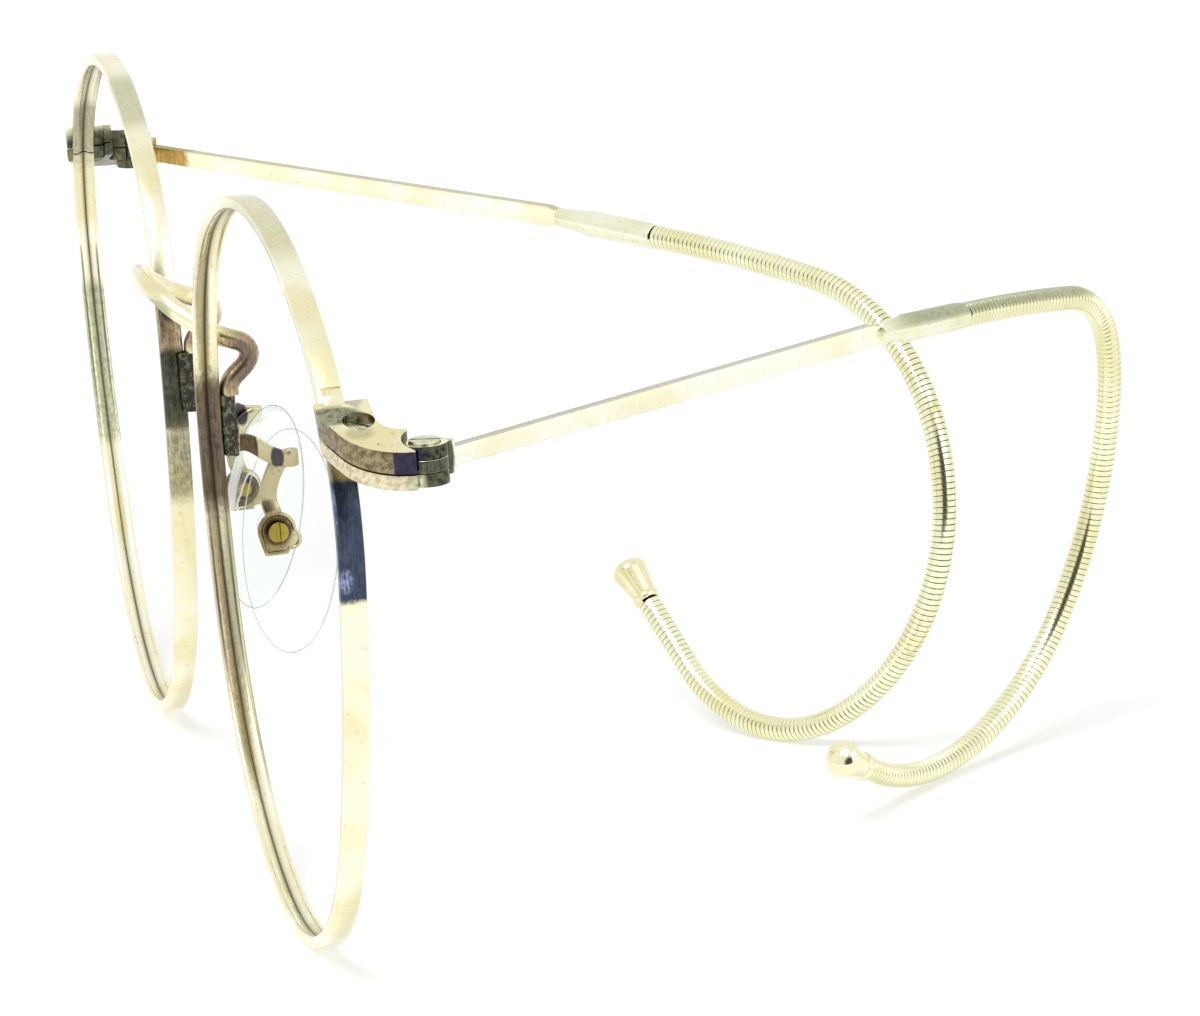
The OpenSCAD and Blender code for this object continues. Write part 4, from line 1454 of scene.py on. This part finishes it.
@dataclass
class Studio:
    """The floor, the light and the camera; the floor's and the lamps' sizes are in metres."""

    camera_from: tuple[float, float, float] = (427.37, -59.36, 99.06)
    forward: tuple[float, float, float] = (-0.95131, 0.19675, -0.23726)
    upward: tuple[float, float, float] = (-0.21466, 0.12946, 0.96807)
    focal_px: float = 6095.28
    image_px: float = 1200.0
    sensor: float = 36.0
    dark_side: tuple[float, float, float] = (0.954, -0.201, 0.223)
    dark_edge: float = 0.85
    dark_core: float = 0.97
    dark_left: float = 0.08
    ambient: float = 0.38
    floor_reach: float = 3.0
    floor_shade: float = 0.85
    lift_from: tuple[float, float] = (0.08, 0.4)
    lift: tuple[float, float] = (0.42, 0.72)
    lamps: tuple[tuple[str, tuple[float, float, float], float, float], ...] = (
        ("key", (0.25, -0.25, 0.55), 0.35, 1.9), ("fill", (0.45, 0.35, 0.35), 0.5, 0.7))
    lamp_aim: tuple[float, float, float] = (0, 0, 0.02)

    def camera(self) -> None:
        """Sets the camera where the photograph was taken from."""
        data = bpy.data.cameras.new("camera")
        data.sensor_width = self.sensor
        data.sensor_fit = "HORIZONTAL"
        data.lens = self.sensor * self.focal_px / self.image_px
        data.clip_start = 0.01
        data.clip_end = 20
        obj = Shop.added("camera", data)
        z = -Vector(self.forward).normalized()
        x = Vector(self.upward).cross(z).normalized()
        y = z.cross(x)
        turn = Matrix((x, y, z)).transposed().to_4x4()
        place = (Vector(self.camera_from) + Vector(STAND.offset())) * MM
        obj.matrix_world = Matrix.Translation(place) @ turn
        bpy.context.scene.camera = obj

    def floor(self) -> None:
        """A white floor that keeps the object's shadow."""
        mesh = bpy.data.meshes.new("floor")
        reach = self.floor_reach
        corners = [(-reach, -reach, 0), (reach, -reach, 0), (reach, reach, 0), (-reach, reach, 0)]
        mesh.from_pydata(corners, [], [(0, 1, 2, 3)])
        obj = Shop.added("floor", mesh)
        material, t = Tree.of_finish("white_floor")
        paper = t.node("ShaderNodeBsdfDiffuse", {"Color": rgba((self.floor_shade,) * 3)})
        path = t.node("ShaderNodeLightPath").outputs
        seen = t.math("MAXIMUM", path["Is Camera Ray"],
                      t.math("MAXIMUM", path["Is Glossy Ray"], path["Is Transmission Ray"]))
        at = t.node("ShaderNodeTexCoord").outputs["Object"]
        height = t.ramp(t.vector("LENGTH", at, out="Value"), *self.lift_from, *self.lift)
        lift = t.node("ShaderNodeEmission", {"Strength": t.math("MULTIPLY", seen, height)})
        both = t.node("ShaderNodeAddShader", {0: paper.outputs[0], 1: lift.outputs[0]})
        t.node("ShaderNodeOutputMaterial", {0: both.outputs[0]})
        mesh.materials.append(material)

    def lights(self) -> None:
        """Soft light from all round, one dark side for the metal to mirror, and two broad lamps."""
        world = bpy.data.worlds.new("studio")
        world.use_nodes = True
        t = Tree(world.node_tree)
        path = t.node("ShaderNodeLightPath").outputs
        seen = t.math("MAXIMUM", path["Is Camera Ray"], path["Is Transmission Ray"])
        towards = t.node("ShaderNodeTexCoord").outputs["Generated"]
        side = t.vector("DOT_PRODUCT", towards, self.dark_side, "Value")
        room = t.ramp(side, self.dark_edge, self.dark_core, 1.0, self.dark_left)
        level = t.math("MULTIPLY", path["Is Glossy Ray"], room)
        other = t.math("SUBTRACT", 1.0, t.math("MAXIMUM", seen, path["Is Glossy Ray"]))
        level = t.math("ADD", t.math("ADD", level, seen), t.math("MULTIPLY", other, self.ambient))
        back = t.node("ShaderNodeBackground", {"Color": (1, 1, 1, 1), "Strength": level})
        t.node("ShaderNodeOutputWorld", {0: back.outputs[0]})
        bpy.context.scene.world = world
        for lamp in self.lamps:
            self.lamp(*lamp)

    def lamp(self, name: str, place: tuple[float, float, float], size: float, power: float) -> None:
        """A square area lamp that looks at the middle of the frame.

        Args:
            name: name of the lamp.
            place: where it hangs, in metres.
            size: length of its side in metres.
            power: its power in watts.
        """
        data = bpy.data.lights.new(name, "AREA")
        data.size = size
        data.energy = power
        obj = Shop.added(name, data)
        obj.location = place
        obj.rotation_euler = (Vector(self.lamp_aim) - Vector(place)).to_track_quat("-Z", "Y").to_euler()


LEFT_CURL = Route(2.4, ((1.75, 0), (11.8, 4.4), (7.6, 58.6), (3.9, 15.4), (17.8, 38.2), (24.7, 85.5), (1.75, 0)))
RIGHT_CURL = Route(2.0, ((1.75, 0), (14.2, 5), (11.8, 41.7), (14.3, 47.3), (16.8, 54.7), (15.6, 71.9), (6.1, 0)))


def main() -> None:
    """Builds the pieces in order."""
    logging.basicConfig(level=logging.INFO, format="%(name)s: %(message)s")
    bpy.context.scene.view_settings.view_transform = "Standard"
    studio = Studio()
    studio.camera()
    studio.floor()
    studio.lights()
    # The blades' upward faces get a painted dark reflection.
    blade = AgedPlate("blade_plate", pale=(0.95, 0.94, 0.80), deep=(0.90, 0.86, 0.60), dust=0.6, spots=(
        # Near black on the temple knuckles: dark tarnish, with painted shade in the hinge gaps.
        Spot((61.6, 5.6, 12.4), (2.2, 1.8, 3.0), BARREL, NEAR_BLACK, 0.96, 0.12, Faces.UPRIGHT),
        Spot((-61.6, 5.6, 12.4), (2.2, 1.8, 3.0), BARREL, NEAR_BLACK, 0.96, 0.12, Faces.UPRIGHT),
        Spot((-59.5, 9.5, 12.0), (4.0, 3.4, 3.0), ORANGE, AMBER, 0.95, 0.1))).build()
    bead = AgedPlate("polished_bead", specks=0.1, roughness=0.09).build()
    # Painted shade: the upward faces of the ferrules and windings take a darker sage colour.
    shaded = (Spot((23, 54, 10.8), (13, 13, 6), SAGE, DULL_GREEN, 0.85, 0.2, Faces.TOP),)
    ferrule = AgedPlate("ferrule_plate", pale=(0.90, 0.91, 0.72), deep=(0.80, 0.80, 0.54), specks=0.4,
                        spots=shaded).build()
    screws = AgedPlate("worn_screw", pale=(0.62, 0.64, 0.44), deep=(0.45, 0.45, 0.27), specks=0.7).build()
    brass = AgedPlate("yellow_brass", pale=(0.64, 0.52, 0.11), deep=(0.34, 0.27, 0.05), specks=0.7,
                      roughness=0.3).build()
    # The winding's colour for grime with painted shade between its turns.
    wire = AgedPlate("wound_plate", pale=(0.90, 0.90, 0.64), deep=(0.84, 0.81, 0.48), dirt=(0.20, 0.19, 0.10),
                     specks=0.2, roughness=0.14, spots=shaded).build()
    dark = AgedPlate("dark_core", pale=(0.16, 0.14, 0.07), deep=(0.10, 0.09, 0.04), roughness=0.4).build()
    solder = Solder("black_solder").build()
    acetate = ClearAcetate("clear_acetate").build()
    temples = {Side.LEFT: (38.7, LEFT_CURL), Side.RIGHT: (55.9, RIGHT_CURL)}
    for side, spots in ((Side.LEFT, near_rim_spots()), (Side.RIGHT, far_rim_spots())):
        rim_plate = AgedPlate("rim_plate_" + side.word, pale=(0.93, 0.91, 0.70), deep=(0.86, 0.80, 0.50),
                              spots=spots, side=side).build()
        halves = [AgedPlate(f"end_piece_{half}_plate_{side.word}", spots=lug_spots(side, half), side=side,
                            specks=0.6, streak=0.0).build() for half in ("upper", "lower")]
        arm = AgedPlate("pad_arm_plate_" + side.word, pale=(0.66, 0.61, 0.40), deep=(0.48, 0.43, 0.25), specks=0.7,
                        spots=arm_spots(), side=side).build()
        Rim(side).build(rim_plate)
        EndPiece(side).build(halves, screws)
        SolderBlock(side).build(solder)
        NosePad(side).build(acetate, brass, arm)
        fold, route = temples[side]
        Temple(side, fold, route).build(blade, ferrule, bead, wire, dark)
    Bridge().build(AgedPlate("bridge_plate", spots=bridge_spots()).build())


if __name__ == "__main__":
    main()
